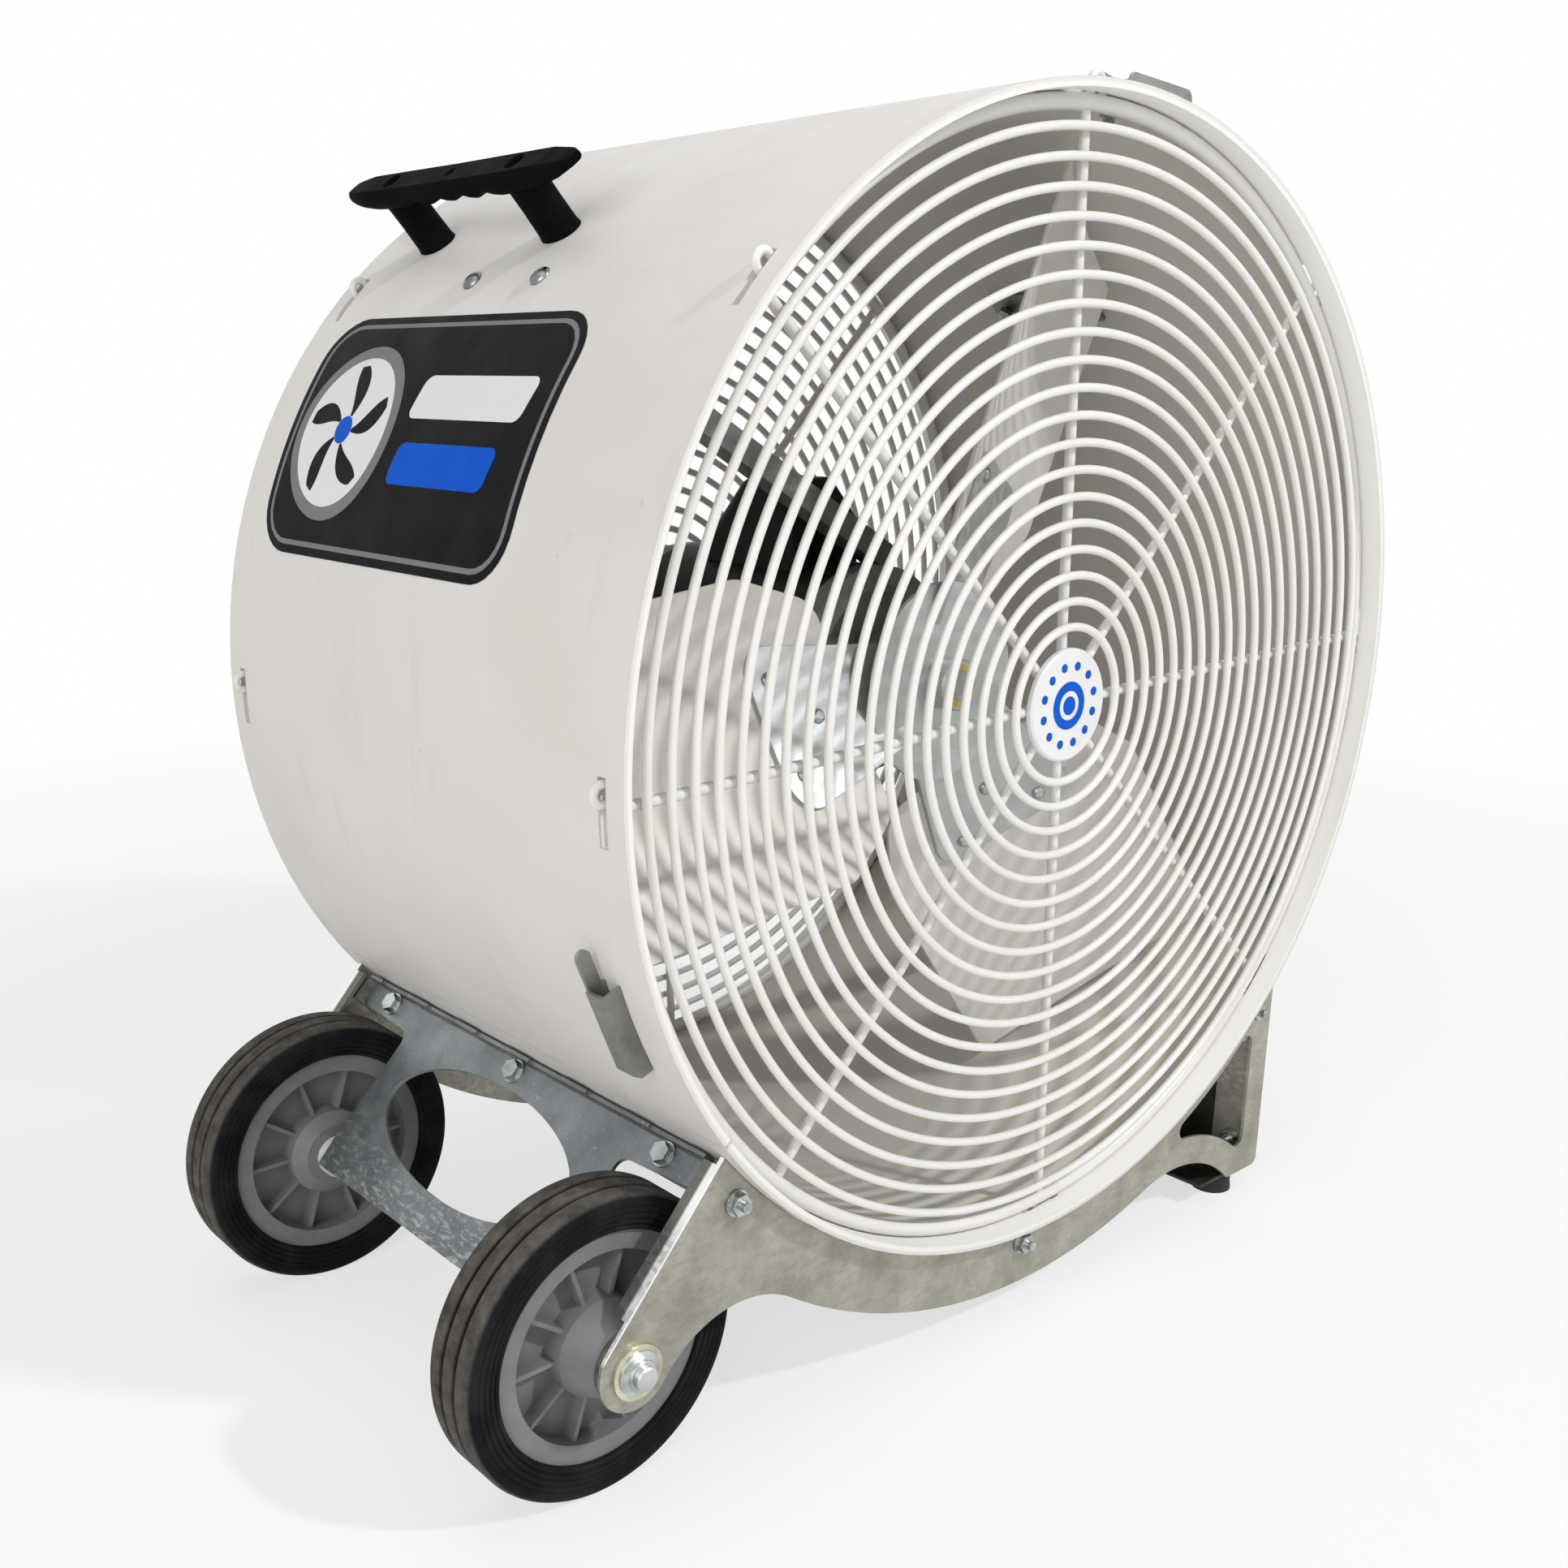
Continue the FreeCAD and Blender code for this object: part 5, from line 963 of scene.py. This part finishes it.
def make_wall():
    """A flat bar carried across the drum's top: foot on the wall, top edge sloping, corners round."""
    left, right = WALL_ENDS
    x = left + (right - left) * (0.5 - 0.5 * np.cos(np.linspace(0, math.pi, WALL_STEPS)))
    edge = np.clip(WALL_CORNER - np.minimum(x - left, right - x), 0.0, WALL_CORNER)
    top = WALL_TOP - WALL_SLOPE * (x - left) - WALL_CORNER + np.sqrt(WALL_CORNER**2 - edge**2)
    foot = np.sqrt((DRUM_RADIUS + WALL_GAP) ** 2 - x**2)
    front, back = WALL_FACES
    corners = ((front, foot), (front, top), (back, top), (back, foot))
    wall = Shell()
    wall.loft(np.stack([np.stack([x, np.full_like(x, y), z], axis=1) for y, z in corners], axis=1))
    wall.build("top_bracket_wall", bracket_zinc, "frame", TURNED_CREASE)


bracket_zinc = zinc_finish("bracket_zinc", *BRACKET_COLOURS, BRACKET_ROUGH, BRACKET_SPANGLE)
dress(bracket_zinc, "left_bracket", "top_bracket", "right_bracket")
bracket_bolts = Shell()
for angle in BRACKET_BOLTS:
    inwards = -around(1.0, angle, 0.0)
    seat = around(INNER_RADIUS + BRACKET_BOLT_SINK, angle, BRACKET_Y)
    nut_seat = seat + inwards * HEX_NUT_LIFT
    bracket_bolts.lathe(HEX_WASHER, seat, inwards, HEX_WASHER_STEPS)
    bracket_bolts.lathe(HEX_NUT, nut_seat, inwards, HEX_SIDES, HEX_NUT_TURN)
    bracket_bolts.lathe(STUD_END, nut_seat, inwards, STUD_STEPS)
bracket_bolts.build("bracket_bolt_heads", bolt_zinc, "frame", BRACKET_BOLT_CREASE)
make_wall()


# Motor: a black painted steel shell between two cast end bells, with a capacitor cover on its back.
# The bells close the shell's ends and carry the shaft, and the struts hold the shell by its sides.

MOTOR_COLOURS = ((0.010, 0.010, 0.011), (0.032, 0.031, 0.030))
MOTOR_ROUGH = 0.42
MOTOR_GRAIN = 260.0
MOTOR_CLOUDS = 14.0
MOTOR_SHARE = 0.6
MOTOR_GLOSS = 0.1
BELL_COLOURS = ((0.20, 0.203, 0.203), (0.36, 0.364, 0.362))
BELL_SURFACE = (0.52, 0.6)
BELL_CLOUDS = (45.0, 6.0, 0.55, 0.34, 0.70, 1.0)
BELL_SHEEN = (90.0, 4.0, 0.44, 0.64)
BELL_GRAIN = (380.0, 4.0, 0.30, 0.0005)

motor_black = moulded_finish(
    "motor_black_paint", *MOTOR_COLOURS, MOTOR_ROUGH,
    MOTOR_GRAIN, MOTOR_CLOUDS, MOTOR_SHARE, MOTOR_GLOSS,
)
bell_grey = cloudy_finish(
    "bell_cast_grey", BELL_SURFACE, BELL_COLOURS, BELL_CLOUDS, BELL_SHEEN, BELL_GRAIN, EDGE_PLASTIC
)
dress(motor_black, "motor_shell", "capacitor_cover")
dress(bell_grey, "motor_front_bell", "motor_rear_bell")


# Struts: four folded channels of galvanised sheet from the motor's sides to feet on the drum's wall, darkened
# with painted shade.
# Each foot is held by two bolts with low round heads on the outside and hex nuts inside.

STRUT_PAINTED_SHADE_COLOURS = ((0.15, 0.152, 0.154), (0.30, 0.305, 0.305))
STRUT_ROUGH = 0.44
STRUT_SPANGLE = 200.0
STRUT_NAMES = [f"motor_strut_{i + 1}" for i in range(4)]
STRUT_ANGLES = (45.0, 135.0, 225.0, 315.0)
STRUT_BOLT_Y = (-8.5, 57.5)
STRUT_BOLT_CREASE = 35.0
STRUT_NUT = [(6.2, -4.0), (6.2, -0.4), (5.6, 0.0), (0.6, 0.0)]
STRUT_NUT_SEAT = 318.6
DOME_COLOURS = ((0.15, 0.155, 0.16), (0.36, 0.365, 0.37))
DOME_ROUGH = 0.26
DOME_HEAD = [(2.9, -9.0), (2.9, 0.1), (6.6, 0.1), (6.5, 0.5), (6.0, 1.3)]
DOME_HEAD += [(4.9, 2.1), (3.2, 2.7), (1.2, 3.0), (0.3, 3.05)]
DOME_STEPS = 32

# Galvanised colours made darker as painted shade inside the drum.
dress(zinc_finish("strut_zinc_painted_shade", *STRUT_PAINTED_SHADE_COLOURS, STRUT_ROUGH, STRUT_SPANGLE), *STRUT_NAMES)
dome_zinc = plated_finish("dome_head_zinc", *DOME_COLOURS, DOME_ROUGH)
strut_bolts = Shell()
for angle in STRUT_ANGLES:
    outwards = around(1.0, angle, 0.0)
    for y in STRUT_BOLT_Y:
        strut_bolts.lathe(DOME_HEAD, around(DRUM_RADIUS, angle, y), outwards, DOME_STEPS)
        strut_bolts.lathe(STRUT_NUT, around(STRUT_NUT_SEAT, angle, y), outwards, HEX_SIDES)
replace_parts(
    strut_bolts.build("strut_dome_bolts", dome_zinc, "frame", STRUT_BOLT_CREASE), "strut_bolts"
)


# Rotor: a yellow-plated hub on the motor's shaft, a galvanised spider and three cambered white blades,
# each riveted to an arm of the spider. The blades are dusty towards their roots.

BLADE_WHITE = (0.82, 0.80, 0.76)
BLADE_STAIN = (0.62, 0.595, 0.535)
BLADE_ROUGH = 0.42
BLADE_STAINS = (7.0, 8.0, 0.64, 0.46, 0.80, 0.55)
BLADE_ROOT_RADII = (0.26, 0.08)
BLADE_ROOT_SHARE = 0.5
BLADE_ROOT_DUST = (30.0, 6.0, 0.55, 0.30, 0.70, 1.0)
BLADE_SHEEN = (30.0, 5.0, 0.34, 0.54)
BLADE_RELIEF = (160.0, 4.0, 0.10, 0.0004)
SPIDER_COLOURS = ((0.48, 0.50, 0.505), (0.67, 0.69, 0.695))
SPIDER_ROUGH = 0.44
SPIDER_SPANGLE = 220.0
YELLOW_COLOURS = ((0.52, 0.37, 0.10), (0.76, 0.61, 0.28))
YELLOW_RADII = (0.0135, 0.0131)
BOSS_ROUGH = 0.40
BOSS_METAL = 0.8
BOSS_CLOUDS = 80.0
BOSS_SHEEN = (160.0, 3.0, 0.32, 0.50)
SHAFT_COLOURS = ((0.30, 0.30, 0.30), (0.50, 0.50, 0.49))
SHAFT_ROUGH = 0.34


def blade_finish():
    """White paint with stains, and dust that thickens towards the fan's axis."""
    f = Finish("blade_white_paint", BLADE_ROUGH)
    root = f.ramp(f.reach(FAN_MIDDLE), *BLADE_ROOT_RADII, 0.0, BLADE_ROOT_SHARE)
    dust = f.product(root, f.patches(BLADE_ROOT_DUST))
    f.colour(f.mix(dust, f.mix(f.patches(BLADE_STAINS), BLADE_WHITE, BLADE_STAIN), BLADE_STAIN))
    f.sheen(BLADE_SHEEN)
    f.relief(BLADE_RELIEF, EDGE_SHEET)
    return f.material


def hub_finish():
    """Bare zinc outside, yellow plating on the bush round the shaft."""
    f = Finish("hub_zinc", BOSS_ROUGH, BOSS_METAL)
    cloud = f.patches((BOSS_CLOUDS, *PLATED_CLOUDS))
    zinc = f.mix(cloud, *SPIDER_COLOURS)
    yellow = f.mix(cloud, *YELLOW_COLOURS)
    f.colour(f.mix(f.ramp(f.reach(FAN_MIDDLE), *YELLOW_RADII), zinc, yellow))
    f.sheen(BOSS_SHEEN)
    f.relief(PLATED_RELIEF, EDGE_SHEET)
    return f.material


dress(blade_finish(), "blade_1", "blade_2", "blade_3")
dress(zinc_finish("spider_zinc", *SPIDER_COLOURS, SPIDER_ROUGH, SPIDER_SPANGLE), "spider")
dress(hub_finish(), "fan_hub")
dress(plated_finish("shaft_steel", *SHAFT_COLOURS, SHAFT_ROUGH), "motor_shaft")
dress(bolt_zinc, "blade_rivets")


# Studio: a pale floor that fades to white, a white surround, soft lamps overhead and on the left and a small
# one in front. The camera stands to the left of the fan, a little above its axis.

IMAGE = 1932.0
CAMERA_FROM_AXIS = (-766.23, -779.3, 187.48)
CAMERA_AZIMUTH = 40.285
CAMERA_ELEVATION = 16.584
CAMERA_ROLL = -0.015
CAMERA_FOCUS = 2043.5
CAMERA_CENTRE = (878.2, 1060.2)
CAMERA_CLIP = 100.0
SENSOR = 36.0
FLOOR_SIZE = 16.0
FLOOR_COLOURS = ((0.90, 0.90, 0.90), (0.92, 0.92, 0.915))
FLOOR_ROUGH = 0.6
FLOOR_CLOUDS = (3.0, 3.0, 0.55, 0.30, 0.70, 1.0)
FLOOR_WHITE_NEAR = 0.66
FLOOR_FADE = (0.7, 1.9)
WHITE = (1.0, 1.0, 1.0, 1.0)
SURROUND_LIGHT = 0.29
SURROUND_SEEN = 1.0
LAMP_TARGET = (0.0, 0.0, 0.40)
LAMPS = (
    ("top_lamp", (-0.4, 0.2, 3.2), 2.6, 16.0),
    ("key_lamp", (1.1, -2.6, 2.75), 0.2, 70.0),
    ("left_lamp", (-3.0, -1.4, 1.6), 2.2, 52.0),
)


def seen_directly(tree):
    """1 where a camera, glossy or transmission ray meets the surface, and 0 for other rays."""
    path = tree.nodes.new("ShaderNodeLightPath")
    total = path.outputs["Is Camera Ray"]
    for name in ("Is Glossy Ray", "Is Transmission Ray"):
        node = tree.nodes.new("ShaderNodeMath")
        node.operation = "MAXIMUM"
        tree.links.new(total, node.inputs[0])
        tree.links.new(path.outputs[name], node.inputs[1])
        total = node.outputs["Value"]
    return total


def make_floor():
    """A plane that takes shadows, and glows more to the eye the further it is from the fan."""
    bpy.ops.mesh.primitive_plane_add(size=FLOOR_SIZE, location=(0.0, 0.0, 0.0))
    floor = bpy.context.object
    floor.name = "floor"
    f = Finish("floor_pale", FLOOR_ROUGH)
    f.colour(f.mix(f.patches(FLOOR_CLOUDS), *FLOOR_COLOURS))
    glow = f.tree.nodes.new("ShaderNodeEmission")
    blend = f.tree.nodes.new("ShaderNodeMixShader")
    away = f.new("ShaderNodeVectorMath", f.place, "Vector")
    away.operation = "LENGTH"
    fade = f.ramp(away.outputs["Value"], *FLOOR_FADE, FLOOR_WHITE_NEAR, 1.0)
    f.tree.links.new(f.product(fade, seen_directly(f.tree)), blend.inputs["Fac"])
    f.tree.links.new(f.surface.outputs["BSDF"], blend.inputs[1])
    f.tree.links.new(glow.outputs["Emission"], blend.inputs[2])
    f.tree.links.new(blend.outputs["Shader"], f.tree.nodes["Material Output"].inputs["Surface"])
    floor.data.materials.append(f.material)


def make_surround():
    """A dim white world for light, and a full white one for the eye and for reflections."""
    world = bpy.data.worlds.new("surround")
    world.use_nodes = True
    tree = world.node_tree
    light = tree.nodes["Background"]
    seen = tree.nodes.new("ShaderNodeBackground")
    for node, strength in ((light, SURROUND_LIGHT), (seen, SURROUND_SEEN)):
        node.inputs["Color"].default_value = WHITE
        node.inputs["Strength"].default_value = strength
    blend = tree.nodes.new("ShaderNodeMixShader")
    tree.links.new(seen_directly(tree), blend.inputs["Fac"])
    tree.links.new(light.outputs["Background"], blend.inputs[1])
    tree.links.new(seen.outputs["Background"], blend.inputs[2])
    tree.links.new(blend.outputs["Shader"], tree.nodes["World Output"].inputs["Surface"])
    bpy.context.scene.world = world


def make_lamp(name, place, size, power):
    """A square lamp at a place, turned towards the fan."""
    data = bpy.data.lights.new(name, "AREA")
    data.shape = "SQUARE"
    data.size = size
    data.energy = power
    lamp = bpy.data.objects.new(name, data)
    lamp.location = place
    lamp.rotation_euler = (Vector(LAMP_TARGET) - Vector(place)).to_track_quat("-Z", "Y").to_euler()
    bpy.context.collection.objects.link(lamp)


def make_camera():
    """A camera turned by azimuth, elevation and roll, its lens and shift taken from image pixels."""
    az = math.radians(CAMERA_AZIMUTH)
    el = math.radians(CAMERA_ELEVATION)
    ahead = Vector((math.sin(az) * math.cos(el), math.cos(az) * math.cos(el), -math.sin(el)))
    right = ahead.cross(Vector(UPRIGHT)).normalized()
    roll = Matrix.Rotation(math.radians(CAMERA_ROLL), 3, ahead)
    up = roll @ right.cross(ahead)
    right = roll @ right
    data = bpy.data.cameras.new("camera")
    data.sensor_width = SENSOR
    data.lens = CAMERA_FOCUS / IMAGE * SENSOR
    data.shift_x = (IMAGE / 2 - CAMERA_CENTRE[0]) / IMAGE
    data.shift_y = (CAMERA_CENTRE[1] - IMAGE / 2) / IMAGE
    data.clip_end = CAMERA_CLIP
    camera = bpy.data.objects.new("camera", data)
    basis = Matrix((right, up, -ahead)).transposed().to_4x4()
    place = Vector(FAN_AXIS) + Vector(CAMERA_FROM_AXIS)
    camera.matrix_world = Matrix.Translation(place / 1000.0) @ basis
    bpy.context.collection.objects.link(camera)
    bpy.context.scene.camera = camera


make_floor()
make_surround()
for name, place, size, power in LAMPS:
    make_lamp(name, place, size, power)
bpy.context.scene.view_settings.view_transform = "Standard"
make_camera()
